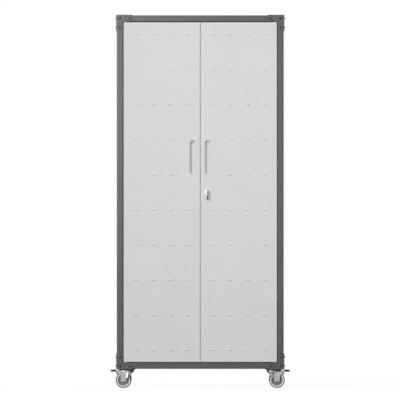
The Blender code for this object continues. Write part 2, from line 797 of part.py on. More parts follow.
def build_key_bow(plug, plug_axis, plastic):
    """The key's folding bow: two cheeks on a pin through the blade, with a grip below them."""
    x, z = LOCK_CENTRE
    y = BOW_PIVOT_Y
    slot = KEY_SHEET / 2 + RUNNING_GAP
    cheeks = slot + BOW_CHEEK
    head = z + BOW_HEAD
    grip_top = z - BOW_BELOW_PIN
    grip_bottom = grip_top - BOW_LENGTH
    neck_half = BOW_NECK_WIDTH / 2
    neck = block((x - cheeks, y - neck_half, grip_top - BOW_CORNER), (x + cheeks, y + neck_half, head))
    deep = neck_half + CUT_MARGIN
    neck = cut(neck, block((x - slot, y - deep, z - BOW_SLOT), (x + slot, y + deep, head + CUT_MARGIN)))
    pin = rod(KEY_PIN_RADIUS, x - cheeks + SEAT, x + cheeks - SEAT, PIN_SIDES, "X", (y, z))
    low_y, high_y = y - BOW_WIDTH / 2, y + BOW_WIDTH / 2
    outline = rounded_rectangle(low_y, high_y, grip_bottom, grip_top, BOW_CORNER, CORNER_STEPS)
    grip = prism(outline, x - BOW_THICKNESS / 2, x + BOW_THICKNESS / 2, "X")
    pivot = Vector((x, y, z))
    bow = fused(neck, pin, grip)
    piece("key_bow", mesh_of("key_bow", bow, plastic, pivot), plug, pivot - plug_axis)


# Casters, each in its own axes: the swivel axis is Z, and the wheel trails towards +X


def caster_plate():
    half = PLATE_SIDE / 2
    outline = rounded_rectangle(-half, half, -half, half, PLATE_CORNER, CORNER_STEPS)
    plate = prism(outline, PLATE_BOTTOM, PLATE_TOP, "Z")
    profile = [
        (RACE_RADIUS, PLATE_BOTTOM + PLATE_SHEET / 2),
        (RACE_RADIUS, PLATE_BOTTOM - RACE_HEIGHT / 2),
        (RACE_LOWER_RADIUS, RACE_BOTTOM),
        (KINGPIN_RADIUS, RACE_BOTTOM),
        (KINGPIN_RADIUS, CROWN_BOTTOM - RUNNING_GAP),
        (KINGPIN_HEAD_RADIUS, CROWN_BOTTOM - RUNNING_GAP),
        (KINGPIN_HEAD_RADIUS, CROWN_BOTTOM - RUNNING_GAP - KINGPIN_HEAD),
    ]
    return fused(plate, turned(profile, ROUND_SIDES, "Z"))


def fork_profile(with_brake):
    """The fork's sheet from the side: legs with rounded ends, a web behind, a shoulder for the pedal."""
    leg_in = CASTER_TRAIL - FORK_LEG_WIDTH / 2
    leg_out = CASTER_TRAIL + FORK_LEG_WIDTH / 2
    corner = FORK_LEG_CORNER
    end = AXLE_HEIGHT - FORK_LEG_DROP + corner
    straight = AXLE_HEIGHT + FORK_LEG_STRAIGHT
    web_bottom = CROWN_TOP - FORK_WEB_HEIGHT
    web_axis = FORK_OUTER - FORK_WEB_BACK
    behind = -FORK_WEB_BACK - CUT_MARGIN
    outline = arc((leg_in + corner, end), corner, math.pi, 1.5 * math.pi, CORNER_STEPS)
    outline += arc((leg_out - corner, end), corner, 1.5 * math.pi, 2 * math.pi, CORNER_STEPS)
    outline.append((leg_out, straight))
    if with_brake:
        shoulder_top = CROWN_TOP + FORK_SHOULDER_RISE
        shoulder_in = RACE_RADIUS + RACE_CLEARANCE
        outline.append((FORK_SHOULDER_REACH, shoulder_top - FORK_SHOULDER_HEIGHT))
        outline.append((FORK_SHOULDER_REACH, shoulder_top))
        outline += [(shoulder_in, shoulder_top), (shoulder_in, CROWN_TOP)]
    else:
        outline.append((leg_out, CROWN_TOP))
    outline += [(behind, CROWN_TOP), (behind, web_bottom), (web_axis, web_bottom)]
    outline.append((leg_in, web_bottom - (leg_in - web_axis)))
    return outline


def fork_sheet(with_brake):
    """One sheet folded round the back of the wheel: a U-shaped bar, trimmed to the side profile."""
    web_axis = FORK_OUTER - FORK_WEB_BACK
    reach = FORK_SHOULDER_REACH + CUT_MARGIN
    half_turn = (math.pi / 2, 1.5 * math.pi, ARC_STEPS)
    outer = arc((web_axis, 0), FORK_OUTER, *half_turn)
    inner = arc((web_axis, 0), FORK_INNER, *half_turn)
    section = [(reach, FORK_OUTER), *outer, (reach, -FORK_OUTER)]
    section += [(reach, -FORK_INNER), *reversed(inner), (reach, FORK_INNER)]
    bar = prism(section, 0, PLATE_TOP, "Z")
    wide = FORK_OUTER + CUT_MARGIN
    return boolean(bar, prism(fork_profile(with_brake), -wide, wide, "Y"), "INTERSECT")


def cross_hole(radius, place):
    """A cutter across both legs of the fork."""
    reach = FORK_OUTER + CUT_MARGIN
    return rod(radius, -reach, reach, PIN_SIDES, "Y", place)


def caster_fork(with_brake):
    profile = [(DOME_RADIUS, CROWN_BOTTOM), (DOME_RADIUS, CROWN_TOP), (DOME_TOP_RADIUS, DOME_TOP)]
    dome = turned(profile, ROUND_SIDES, "Z")
    half = (FORK_INNER + FORK_OUTER) / 2
    crown = block((0, -half, CROWN_BOTTOM), (CASTER_TRAIL + FORK_LEG_WIDTH / 2, half, CROWN_TOP - SEAT))
    fork = fused(dome, crown, fork_sheet(with_brake))
    king = KINGPIN_RADIUS + RUNNING_GAP
    fork = cut(fork, rod(king, CROWN_BOTTOM - CUT_MARGIN, DOME_TOP + CUT_MARGIN, ROUND_SIDES, "Z"))
    fork = cut(fork, cross_hole(AXLE_RADIUS + RUNNING_GAP, (CASTER_TRAIL, AXLE_HEIGHT)))
    if with_brake:
        fork = cut(fork, cross_hole(PEDAL_PIN_RADIUS + RUNNING_GAP, pedal_pivot()))
    return fork


def caster_wheel():
    """Tyre, face ring, hub disc and boss, turned round the axle."""
    face = TYRE_WIDTH / 2
    half = [
        (AXLE_RADIUS + RUNNING_GAP, HUB_WIDTH / 2),
        (HUB_BOSS_RADIUS, HUB_WIDTH / 2),
        (HUB_BOSS_RADIUS, face - HUB_DISC_RECESS),
        (HUB_DISC_RADIUS, face - HUB_DISC_RECESS),
        (TYRE_FACE_INNER, face),
        (TYRE_OUTER - TYRE_SHOULDER, face),
        (TYRE_OUTER, face - TYRE_SHOULDER),
    ]
    profile = half + [(radius, -y) for radius, y in reversed(half)]
    return turned(profile, WHEEL_SIDES, "Y", (CASTER_TRAIL, AXLE_HEIGHT), closed=True)


def caster_axle():
    seat = FORK_OUTER + SEAT
    half = [
        (AXLE_HEAD_RADIUS - AXLE_HEAD, seat + AXLE_HEAD),
        (AXLE_HEAD_RADIUS, seat),
        (AXLE_RADIUS, seat),
    ]
    profile = half + [(radius, -y) for radius, y in reversed(half)]
    return turned(profile, PIN_SIDES, "Y", (CASTER_TRAIL, AXLE_HEIGHT))


def pedal_pivot():
    return PEDAL_PIVOT_REACH, CROWN_TOP - PEDAL_PIVOT_DROP


def brake_pedal():
    """A lever on a pin between the legs, with a shoe over the tyre inside it and a foot pad outside it."""
    pivot_x, pivot_z = pedal_pivot()
    under_plate = PLATE_BOTTOM - PEDAL_BELOW_PLATE
    pad_start = PLATE_SIDE / math.sqrt(2) + PEDAL_CLEARANCE
    pad_root = pad_start + PEDAL_PAD_CORNER
    neck_end = FORK_SHOULDER_REACH + PEDAL_CLEARANCE

    def pad_level(x, drop):
        return PAD_BOTTOM - PEDAL_CLEARANCE - drop - (x - pad_start) * math.tan(PEDAL_SLOPE)

    shoe_radius = TYRE_OUTER + SHOE_CLEARANCE
    shoe = arc((CASTER_TRAIL, AXLE_HEIGHT), shoe_radius, SHOE_HIGH_ANGLE, SHOE_LOW_ANGLE, CORNER_STEPS)
    lever = [(pivot_x - SHOE_BODY, pivot_z - SHOE_BODY / 4), *shoe, (neck_end, pivot_z)]
    lever += [(x, pad_level(x, PEDAL_THICKNESS)) for x in (pad_start, pad_root)]
    lever += [(x, pad_level(x, 0)) for x in (pad_root, pad_start)]
    lever += [(pad_start - PEDAL_THICKNESS / 2, under_plate), (pivot_x, under_plate)]
    lever.append((pivot_x - SHOE_BODY, pivot_z + SHOE_BODY / 2))
    half = FORK_INNER - PEDAL_SIDE_CLEARANCE
    body = prism(lever, -half, half, "Y")
    wide = PEDAL_PAD_WIDTH / 2
    corner_x = PEDAL_REACH - PEDAL_PAD_CORNER
    corner_y = wide - PEDAL_PAD_CORNER
    outline = [(pad_start, -wide)]
    outline += arc((corner_x, -corner_y), PEDAL_PAD_CORNER, -math.pi / 2, 0, PAD_STEPS)
    outline += arc((corner_x, corner_y), PEDAL_PAD_CORNER, 0, math.pi / 2, PAD_STEPS)
    outline.append((pad_start, wide))
    pad = loft([[(x, y, pad_level(x, drop)) for x, y in outline] for drop in (PEDAL_THICKNESS, 0)])
    pin_reach = FORK_OUTER - SEAT
    pin = rod(PEDAL_PIN_RADIUS, -pin_reach, pin_reach, PIN_SIDES, "Y", (pivot_x, pivot_z))
    return fused(body, pad, pin)


def build_casters(zinc, rubber, steel, plastic):
    axle_place = (CASTER_TRAIL, 0, AXLE_HEIGHT)
    pivot_x, pivot_z = pedal_pivot()
    pedal_place = (pivot_x, 0, pivot_z)
    plate = mesh_of("caster_plate", caster_plate(), zinc)
    wheel = mesh_of("caster_wheel", caster_wheel(), rubber, axle_place)
    axle = mesh_of("caster_axle", caster_axle(), steel, axle_place)
    pedal = mesh_of("brake_pedal", brake_pedal(), plastic, pedal_place)
    forks = {
        "front": mesh_of("caster_fork_braked", caster_fork(True), zinc),
        "rear": mesh_of("caster_fork_plain", caster_fork(False), zinc),
    }
    for end, end_sign in ENDS.items():
        for side, side_sign in SIDES.items():
            corner = f"{end}_{side}"
            swivel = put_in_scene(f"swivel_{corner}", None)
            x = side_sign * (HALF_WIDTH - CASTER_FROM_EDGE)
            y = end_sign * (HALF_DEPTH - CASTER_FROM_EDGE)
            swivel.location = (x, y, 0)
            swivel.rotation_euler.z = 0 if side == "right" else math.pi
            piece(f"caster_plate_{corner}", plate, swivel)
            piece(f"caster_fork_{corner}", forks[end], swivel)
            piece(f"caster_wheel_{corner}", wheel, swivel, axle_place)
            piece(f"caster_axle_{corner}", axle, swivel, axle_place)
            if end == "front":
                piece(f"brake_pedal_{corner}", pedal, swivel, pedal_place)


def main():
    clear_scene()
    frame_paint = finish("frame_paint", (0.13, 0.13, 0.135), 0.55, 0)
    body_paint = finish("body_paint", (0.66, 0.66, 0.64), 0.5, 0)
    zinc = finish("zinc_plate", (0.62, 0.62, 0.60), 0.35, 1)
    chrome = finish("chrome", (0.75, 0.75, 0.75), 0.15, 1)
    steel = finish("steel", (0.45, 0.45, 0.45), 0.4, 1)
    rubber = finish("wheel_rubber", (0.30, 0.28, 0.28), 0.6, 0)
    plastic = finish("black_plastic", (0.02, 0.02, 0.02), 0.45, 0)
    build_posts(frame_paint)
    build_rails(frame_paint)
    build_brackets(frame_paint)
    build_panels(body_paint)
    build_shelves(body_paint)
    build_hinge_pins(steel)
    for side in SIDES:
        door = build_door(side, body_paint)
        build_pull(side, door, body_paint)
        if side == "right":
            build_lock_housing(door, chrome)
            plug, plug_axis = build_lock_plug(door, chrome)
            build_key_bow(plug, plug_axis, plastic)
    build_casters(zinc, rubber, steel, plastic)


main()
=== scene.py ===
# %% [markdown]
# # A mobile storage cabinet
# A bolted frame of square tube stands on four casters and holds two light sheet-steel doors.
# The measured solids come from the packed model, so this lesson only dresses them: it softens folded
# edges, turns the round parts smoothly, adds the bolts, and gives every surface its finish.

# %% load the measured model
import math

import bpy
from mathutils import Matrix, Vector


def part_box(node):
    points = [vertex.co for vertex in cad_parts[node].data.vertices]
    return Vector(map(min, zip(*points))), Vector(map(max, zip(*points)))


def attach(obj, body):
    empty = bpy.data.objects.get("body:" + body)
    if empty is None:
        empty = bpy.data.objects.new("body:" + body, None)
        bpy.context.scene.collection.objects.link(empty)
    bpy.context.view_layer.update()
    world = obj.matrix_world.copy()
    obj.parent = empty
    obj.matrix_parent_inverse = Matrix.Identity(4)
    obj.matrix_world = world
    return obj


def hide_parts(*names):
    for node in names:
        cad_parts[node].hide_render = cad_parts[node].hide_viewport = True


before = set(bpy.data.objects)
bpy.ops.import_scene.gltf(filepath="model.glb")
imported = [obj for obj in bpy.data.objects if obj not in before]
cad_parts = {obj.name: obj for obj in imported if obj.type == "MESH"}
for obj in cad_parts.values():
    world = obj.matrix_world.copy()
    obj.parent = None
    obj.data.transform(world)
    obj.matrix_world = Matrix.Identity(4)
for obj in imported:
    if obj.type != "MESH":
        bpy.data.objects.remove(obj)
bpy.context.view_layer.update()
scene = bpy.context.scene

# %% [markdown]
# ## The camera
# The photograph shows no side of the frame and nothing of the rear wheels, so it was taken from very far
# away with a very long lens. An orthographic camera would do the same for this one view, and here a long
# lens is used.

# %% camera
VIEW_DISTANCE = 50.0
VIEW_WIDTH = 1.9165
VIEW_CENTRE_X = -0.0012
VIEW_CENTRE_Z = 0.9013
SENSOR = 36.0
TO_FRONT = (math.pi / 2, 0, 0)  # turns the Z axis to the front
door_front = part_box("post_front_left")[0].y
camera_data = bpy.data.cameras.new("camera")
camera_data.sensor_width = SENSOR
camera_data.lens = SENSOR * VIEW_DISTANCE / VIEW_WIDTH
camera_data.clip_end = 4 * VIEW_DISTANCE
camera = bpy.data.objects.new("camera", camera_data)
scene.collection.objects.link(camera)
camera.location = (VIEW_CENTRE_X, door_front - VIEW_DISTANCE, VIEW_CENTRE_Z)
camera.rotation_euler = TO_FRONT
scene.camera = camera
print("lens:", round(camera_data.lens, 1), "mm")

# %% [markdown]
# ## Shader maths
# A finish is a few nodes, and most of them do arithmetic. One small class wraps a socket, so that the
# arithmetic is written as Python and each expression adds its Math nodes. Every other kind of node comes
# from one method, which takes the node's type, its settings and the values or links of its sockets.


# %% a socket that can be calculated with
class Wire:
    """One output of a shader node."""

    def __init__(self, tree, socket):
        self.tree = tree
        self.socket = socket

    def node(self, kind, settings, inputs, output=0):
        made = self.tree.nodes.new(kind)
        for name, value in settings.items():
            setattr(made, name, value)
        for key, value in inputs.items():
            if isinstance(value, Wire):
                self.tree.links.new(value.socket, made.inputs[key])
            else:
                made.inputs[key].default_value = value
        return Wire(self.tree, made.outputs[output])

    def math(self, operation, *values):
        return self.node("ShaderNodeMath", {"operation": operation}, dict(enumerate(values)))

    def __add__(self, other):
        return self.math("ADD", self, other)

    def __sub__(self, other):
        return self.math("SUBTRACT", self, other)

    def __rsub__(self, other):
        return self.math("SUBTRACT", other, self)

    def __mul__(self, other):
        return self.math("MULTIPLY", self, other)

    def __abs__(self):
        return self.math("ABSOLUTE", self)

    __radd__ = __add__
    __rmul__ = __mul__

    def smaller(self, other):
        return self.math("MINIMUM", self, other)

    def larger(self, other):
        return self.math("MAXIMUM", self, other)

    def ramp(self, start, end):
        """0 at the start value, 1 at the end value, smooth between them and held outside."""
        span = {"interpolation_type": "SMOOTHSTEP"}
        return self.node("ShaderNodeMapRange", span, {"Value": self, "From Min": start, "From Max": end})

    def blend(self, low, high):
        """A colour between two, by this value."""
        return self.node("ShaderNodeMix", {"data_type": "RGBA"}, {0: self, 6: low, 7: high}, 2)

    def noise(self, size, detail=2.0, rough=0.5):
        """A noise whose blotches are about this size in metres."""
        inputs = {"Vector": self, "Scale": 1 / size, "Detail": detail, "Roughness": rough}
        return self.node("ShaderNodeTexNoise", {}, inputs)

    def stretched(self, x, y, z):
        """The same place, squeezed along each axis, so that a noise is drawn out along the others."""
        return self.node("ShaderNodeMapping", {}, {"Vector": self, "Scale": (x, y, z)})

    def bump(self, strength, distance):
        """The surface tilted by this value as a height, whose full range is the distance in metres."""
        inputs = {"Strength": strength, "Distance": distance, "Height": self}
        return self.node("ShaderNodeBump", {}, inputs)

    def parts(self):
        made = self.tree.nodes.new("ShaderNodeSeparateXYZ")
        self.tree.links.new(self.socket, made.inputs[0])
        return [Wire(self.tree, output) for output in made.outputs]


print("a wire has", len(vars(Wire)), "entries")


# %% starting a finish
def grey(value, warm=0.0):
    """A near-grey colour from a screen value between 0 and 255."""
    screen = value / 255
    linear = ((screen + 0.055) / 1.055) ** 2.4
    return (linear * (1 + warm), linear, linear * (1 - warm), 1)


def new_finish(name):
    """A material, its Principled shader, and the place on the surface in metres."""
    material = bpy.data.materials.new(name)
    material.use_nodes = True
    tree = material.node_tree
    surface = tree.nodes["Principled BSDF"]
    place = tree.nodes.new("ShaderNodeTexCoord").outputs["Object"]
    return material, surface, Wire(tree, place)


def connect(surface, **wires):
    names = {"colour": "Base Color", "roughness": "Roughness", "normal": "Normal"}
    for key, wire in wires.items():
        wire.tree.links.new(wire.socket, surface.inputs[names[key]])


print("screen grey 214 is", [round(v, 3) for v in grey(214)])

# %% [markdown]
# ## Paint
# Frame and doors are powder coated: the powder melts to a skin with a fine orange-peel grain, and it wears
# first along the outer edges of the tubes. The grain is a small noise in the bump. The wear is found from
# the place itself: a point near an outer edge of the frame is close to two of its outer planes at once.

# %% powder coat on the frame
WORN_WITHIN = (0.0006, 0.0028)
post_low, post_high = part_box("post_front_left")
frame_top = post_high.z
frame_bottom = post_low.z
half_width = -post_low.x
half_depth = -post_low.y


def edge_distance(place):
    """How far a point of the frame is from the nearest outer edge."""
    x, y, z = place.parts()
    from_side = half_width - abs(x)
    from_face = half_depth - abs(y)
    from_end = (frame_top - z).smaller(z - frame_bottom)
    upright = from_side.larger(from_face)
    across = from_face.larger(from_end)
    along = from_side.larger(from_end)
    return upright.smaller(across).smaller(along)


def frame_coat():
    material, surface, place = new_finish("frame_paint")
    grain = place.noise(size=0.0011, detail=3, rough=0.6)
    cloud = place.noise(size=0.07, detail=3)
    tone = (grain * 0.55 + cloud * 0.45).ramp(0.3, 0.7)
    coat = tone.blend(grey(71, -0.01), grey(80, -0.01))
    rubbed = place.noise(size=0.006, detail=4, rough=0.65).ramp(0.5, 0.62)
    worn = (1 - edge_distance(place).ramp(*WORN_WITHIN)) * rubbed
    connect(surface, colour=(worn * 0.4).blend(coat, grey(116, 0.01)))
    connect(surface, roughness=0.4 + 0.1 * cloud - 0.1 * worn)
    connect(surface, normal=(grain - 0.25 * worn).bump(strength=0.28, distance=0.00025))
    return material


frame_paint = frame_coat()
print("frame edges at x", round(half_width, 3), "y", round(half_depth, 3), "z", round(frame_top, 3))


# %% powder coat on doors and panels
def body_coat():
    material, surface, place = new_finish("body_paint")
    grain = place.noise(size=0.0009)
    cloud = place.noise(size=0.16, detail=3)
    tone = (grain * 0.3 + cloud * 0.7).ramp(0.3, 0.7)
    connect(surface, colour=tone.blend(grey(210, 0.008), grey(213, 0.008)))
    connect(surface, roughness=0.66 + 0.1 * cloud + 0.06 * grain)
    connect(surface, normal=grain.bump(strength=0.12, distance=0.0002))
    surface.inputs["Specular IOR Level"].default_value = 0.3
    return material


body_paint = body_coat()
print("paints:", frame_paint.name, "and", body_paint.name)

# %% [markdown]
# ## Metal, rubber and plastic
# The forks are zinc plated: bright, with a cloudy crystal bloom. Caster plates, races and bolts have the
# black kind of zinc, and on the plates, races and domes its dark also stands for painted shade under the
# cabinet. The lock is chrome, and pins, axles and nuts are drawn steel with fine lines. Tyres are grey
# rubber, painted darker towards the tread as shade on their rounded edge. Rims and hubs are pale and taupe
# plastic, and pedals, caps and the key's grip are moulded black plastic.


# %% metals
def plated(name, tones, crystals, grain, share, relief, strength, rough, shine):
    """Zinc grows in crystals: a bloom of tone, and a finer grain in it."""
    material, surface, place = new_finish(name)
    bloom = place.noise(*crystals)
    fine = place.noise(grain)
    tone = (bloom * share + fine * (1 - share)).ramp(0.35, 0.65)
    height = bloom * relief + fine * (1 - relief)
    connect(surface, colour=tone.blend(*tones))
    connect(surface, roughness=rough[0] + rough[1] * bloom)
    connect(surface, normal=height.bump(strength, distance=0.0001))
    surface.inputs["Metallic"].default_value = shine
    return material


def chrome():
    material, surface, place = new_finish("chrome")
    haze = place.noise(size=0.004, detail=4)
    lines = place.stretched(1, 1, 14).noise(size=0.0022, detail=3)
    connect(surface, colour=haze.ramp(0.3, 0.7).blend(grey(212), grey(228)))
    connect(surface, roughness=0.09 + 0.1 * haze)
    connect(surface, normal=lines.bump(strength=0.04, distance=0.00005))
    surface.inputs["Metallic"].default_value = 1.0
    return material


def drawn_steel():
    material, surface, place = new_finish("steel")
    lines = place.stretched(8, 8, 1).noise(size=0.0016, detail=4)
    cloud = place.noise(size=0.008, detail=3)
    connect(surface, colour=(lines * 0.5 + cloud * 0.5).blend(grey(138), grey(178)))
    connect(surface, roughness=0.3 + 0.2 * cloud)
    connect(surface, normal=lines.bump(strength=0.15, distance=0.00008))
    surface.inputs["Metallic"].default_value = 1.0
    return material


zinc_plate = plated("zinc_plate", (grey(196, 0.02), grey(211, 0.015)), crystals=(0.006, 5, 0.65),
                    grain=0.0007, share=0.8, relief=0.5, strength=0.1, rough=(0.1, 0.13), shine=0.85)
# near-black zinc; on plates, races and domes its dark also paints the shade under the cabinet
dark_zinc_and_shade = plated("black_zinc_and_shade", (grey(46), grey(62)), crystals=(0.003, 4, 0.6),
                   grain=0.0006, share=0.7, relief=0.4, strength=0.12, rough=(0.26, 0.16), shine=0.6)
chrome_plate = chrome()
steel = drawn_steel()
print("metals:", [m.name for m in (zinc_plate, dark_zinc_and_shade, chrome_plate, steel)])


# %% rubber and plastics
def moulded_tone(place, grain_size):
    """A fine even grain, slow clouds from handling, and a tone that has both."""
    grain = place.noise(grain_size, detail=3, rough=0.6)
    cloud = place.noise(size=0.012, detail=4)
    return grain, cloud, (grain * 0.35 + cloud * 0.65).ramp(0.3, 0.7)


def moulded(name, dark, light, rough, grain_size, depth, shine=0.5):
    material, surface, place = new_finish(name)
    grain, cloud, tone = moulded_tone(place, grain_size)
    connect(surface, colour=tone.blend(dark, light))
    connect(surface, roughness=rough + 0.14 * cloud)
    connect(surface, normal=grain.bump(strength=0.3, distance=depth))
    surface.inputs["Specular IOR Level"].default_value = shine
    return material


def tyre_coat():
    """Grey rubber, painted darker towards the tread as shade on its rounded edge.
    Each tyre's mesh holds how near the tread a point is.
    """
    material, surface, place = new_finish("wheel_rubber")
    grain, cloud, tone = moulded_tone(place, grain_size=0.0009)
    tread = place.node("ShaderNodeAttribute", {"attribute_name": "tread"}, {}, "Fac")
    wall = tone.blend(grey(120, 0.01), grey(136, 0.01))
    # the darker grey(76) towards the tread is painted shade on the tyre's rounded edge
    connect(surface, colour=(tread * (0.8 + 0.4 * cloud)).smaller(1.0).blend(wall, grey(76, 0.01)))
    connect(surface, roughness=0.6 + 0.14 * cloud + 0.1 * tread)
    connect(surface, normal=grain.bump(strength=0.3, distance=0.00015))
    return material


tyre_rubber = tyre_coat()
rim_plastic = moulded("rim_plastic", grey(234), grey(243), rough=0.42, grain_size=0.0007, depth=0.00008)
hub_plastic = moulded("hub_plastic", grey(101, 0.13), grey(115, 0.13), rough=0.5,
                      grain_size=0.0008, depth=0.0001)
black_plastic = moulded("black_plastic", grey(14), grey(23), rough=0.5,
                        grain_size=0.0006, depth=0.0001, shine=0.22)
print("mouldings:", [m.name for m in (tyre_rubber, rim_plastic, hub_plastic, black_plastic)])

# %% [markdown]
# ## Finishes on the measured solids
# Tubes, panels and doors are flat and crisp as they are, so these solids keep their shape and only get
# their finish, by how their names start. Every other solid gets a dressed piece below.

# %% finishes on the solids that stay
stays = {
    frame_paint: ("post", "rail"),
    body_paint: ("side_panel", "back_panel", "top_panel", "floor_panel", "door"),
}
staying = 0
for finish, starts in stays.items():
    for name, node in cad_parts.items():
        if name.startswith(starts):
            node.material_slots[0].material = finish
            staying += 1
print("solids that stay:", staying, "of", len(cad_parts))

# %% [markdown]
# ## Working by hand
# An operator acts on all that is selected, so each piece starts with nothing selected. A piece that
# refines a solid starts as a copy of it. The solid's mesh is loose triangles, so the copy is merged first.


# %% choosing, editing and copying
def start_fresh():
    bpy.ops.object.select_all(action="DESELECT")


def make_active(piece):
    start_fresh()
    piece.select_set(True)
    bpy.context.view_layer.objects.active = piece


def editing(kind):
    bpy.ops.object.mode_set(mode="EDIT")
    bpy.ops.mesh.select_mode(type=kind)


def pick_all():
    bpy.ops.mesh.select_all(action="SELECT")


def edit_all():
    editing("VERT")
    pick_all()


def face_outward():
    pick_all()
    bpy.ops.mesh.normals_make_consistent(inside=False)


def done_editing():
    bpy.ops.object.mode_set(mode="OBJECT")


def settle(piece):
    """Moves a piece's place, turn and size into its mesh."""
    make_active(piece)
    bpy.ops.object.transform_apply(location=True, rotation=True, scale=True)


def placed(piece, place, turn=(0, 0, 0)):
    piece.location = place
    piece.rotation_euler = turn
    settle(piece)
    return piece


def copied(piece, place=(0, 0, 0), turn=(0, 0, 0)):
    """Another one with its own mesh, at a place and a turn that end up in the mesh."""
    other = piece.copy()
    other.data = piece.data.copy()
    scene.collection.objects.link(other)
    return placed(other, place, turn)


def merged(node):
    """A copy of a solid with its doubles merged and its flat faces joined."""
    piece = copied(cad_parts[node])
    for key in list(piece.keys()):
        if key.startswith("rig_"):
            del piece[key]
    piece.parent = None
    edit_all()
    bpy.ops.mesh.remove_doubles(threshold=0.000005)
    bpy.ops.mesh.dissolve_limited(angle_limit=math.radians(0.5))
    done_editing()
    return piece


print("triangles of a door's solid:", len(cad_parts["door_left"].data.polygons))

# %% [markdown]
# ## Soft edges
# No real edge is sharp, and a small round catches a line of light. Edges are picked by their two ends and
# bevelled by hand where one place needs a large round. A Bevel modifier then softens all the others, and
# weighted normals keep the large faces flat in the light.

# %% bevels and shading
DOUBLES = 0.0000002


def pick_edges(piece, test):
    """Edit mode, with the edges selected whose two ends pass the test."""
    editing("EDGE")
    bpy.ops.mesh.select_all(action="DESELECT")
    done_editing()
    points = piece.data.vertices
    for edge in piece.data.edges:
        edge.select = test(*(points[i].co for i in edge.vertices))
    editing("EDGE")


def bevel_edges(piece, test, width, segments):
    pick_edges(piece, test)
    bpy.ops.mesh.bevel(offset=width, segments=segments)
    done_editing()


def apply_modifiers(piece):
    make_active(piece)
    for modifier in list(piece.modifiers):
        bpy.ops.object.modifier_apply(modifier=modifier.name)


def smooth(piece, angle=35):
    make_active(piece)
    bpy.ops.object.shade_smooth_by_angle(angle=math.radians(angle))


def cleaned(piece, distance=DOUBLES):
    """Merges doubled points, which a bevel or a Boolean can leave."""
    make_active(piece)
    edit_all()
    bpy.ops.mesh.remove_doubles(threshold=distance)
    done_editing()


def rounded(piece, width, segments=2):
    """All edges that turn by more than 30 degrees, rounded. Large faces keep their flat shading."""
    bevel = piece.modifiers.new("edges", "BEVEL")
    bevel.width = width
    bevel.segments = segments
    bevel.limit_method = "ANGLE"
    bevel.angle_limit = math.radians(30)
    apply_modifiers(piece)
    cleaned(piece)
    smooth(piece)
    flats = piece.modifiers.new("flat faces", "WEIGHTED_NORMAL")
    flats.keep_sharp = True
    apply_modifiers(piece)
    return piece


print("doubles merge within", DOUBLES, "m")

# %% [markdown]
# ## Corner brackets
# Each corner is one steel sheet folded over a post and two rails. A fold has a round outer edge that
# catches a line of light. The solid has sharp folds, so a copy is merged, its folds are bevelled by the
# sheet's bending radius, and its cut edges are only broken.

# %% corner brackets
FOLD_RADIUS = 0.0024
CUT_EDGE = 0.0005
NEAR = 0.0001
corners = [f"{end}_{side}" for end in ("front", "rear") for side in ("left", "right")]


def dress(piece, name, finish, body):
    """Names a piece, gives it its finish and makes it ride on a body."""
    piece.name = name
    piece.data.name = name
    piece.data.materials.clear()
    piece.data.materials.append(finish)
    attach(piece, body)
    return piece


def outward(corner):
    """Which way is out at a corner, along x and along y."""
    return (-1 if "left" in corner else 1), (-1 if "front" in corner else 1)


def on_fold(point, planes):
    """Whether a point lies on two or more of the three outer planes."""
    return sum(abs(a - b) < NEAR for a, b in zip(point, planes)) > 1


for level in ("bottom", "top"):
    for corner in corners:
        node = f"bracket_{level}_{corner}"
        low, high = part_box(node)
        ways = (*outward(corner), -1 if level == "bottom" else 1)
        planes = [high[axis] if way > 0 else low[axis] for axis, way in enumerate(ways)]
        bracket = merged(node)
        bevel_edges(bracket, lambda a, b: on_fold(a, planes) and on_fold(b, planes), FOLD_RADIUS, 4)
        rounded(bracket, CUT_EDGE)
        dress(bracket, f"corner_{level}_{corner}", frame_paint, "cabinet")
        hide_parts(node)
print("bracket faces:", len(bracket.data.polygons))

# %% [markdown]
# ## Bracket bolts
# Low dome heads hold each bracket to the tubes: at the corner, along the rail and along the post, on the
# front or rear face and again on the side face. A turned part is a chain of points, by radius and height,
# that is spun round an axis. One head is made so, a Boolean cuts its hex socket, and it is copied.


# %% turning and cutting
def turned(profile, steps):
    """A shape turned about the Z axis: a chain of extruded points, spun all the way round."""
    start_fresh()
    bpy.ops.mesh.primitive_plane_add(size=0.001)
    piece = bpy.context.object
    editing("VERT")
    bpy.ops.mesh.merge(type="CENTER")
    radius, height = profile[0]
    bpy.ops.transform.translate(value=(radius, 0, height))
    for (r0, h0), (r1, h1) in zip(profile, profile[1:]):
        move = {"value": (r1 - r0, 0, h1 - h0)}
        bpy.ops.mesh.extrude_region_move(TRANSFORM_OT_translate=move)
    pick_all()
    bpy.ops.mesh.spin(steps=steps, angle=2 * math.pi, center=(0, 0, 0), axis=(0, 0, 1))
    pick_all()
    bpy.ops.mesh.remove_doubles(threshold=0.000002)
    face_outward()
    done_editing()
    return piece


def cut_away(piece, cutter):
    """Takes the cutter's shape out of the piece and removes the cutter."""
    cut = piece.modifiers.new("cut", "BOOLEAN")
    cut.operation = "DIFFERENCE"
    cut.object = cutter
    apply_modifiers(piece)
    bpy.data.objects.remove(cutter)


SOCKET_RADIUS = 0.0021


def socketed(head, top, depth):
    """Cuts a hex socket into the top of a screw head."""
    bpy.ops.mesh.primitive_cylinder_add(vertices=6, radius=SOCKET_RADIUS, depth=depth, location=(0, 0, top))
    cut_away(head, bpy.context.object)
    cleaned(head)
    smooth(head)
    return head


print("hex sockets of radius", SOCKET_RADIUS)

# %% one bolt head
BOLT_RADIUS = 0.006
BOLT_HEIGHT = 0.0031
BOLT_RIM = 0.0005
dome = [(0, 0), (BOLT_RADIUS, 0), (BOLT_RADIUS, BOLT_RIM)]
for angle in (0.35, 0.7, 1.05, 1.35):
    dome += [(BOLT_RADIUS * math.cos(angle), BOLT_RIM + (BOLT_HEIGHT - BOLT_RIM) * math.sin(angle))]
dome += [(0, BOLT_HEIGHT)]
bolt = socketed(turned(dome, 24), BOLT_HEIGHT, depth=0.003)
print("bolt head faces:", len(bolt.data.polygons))

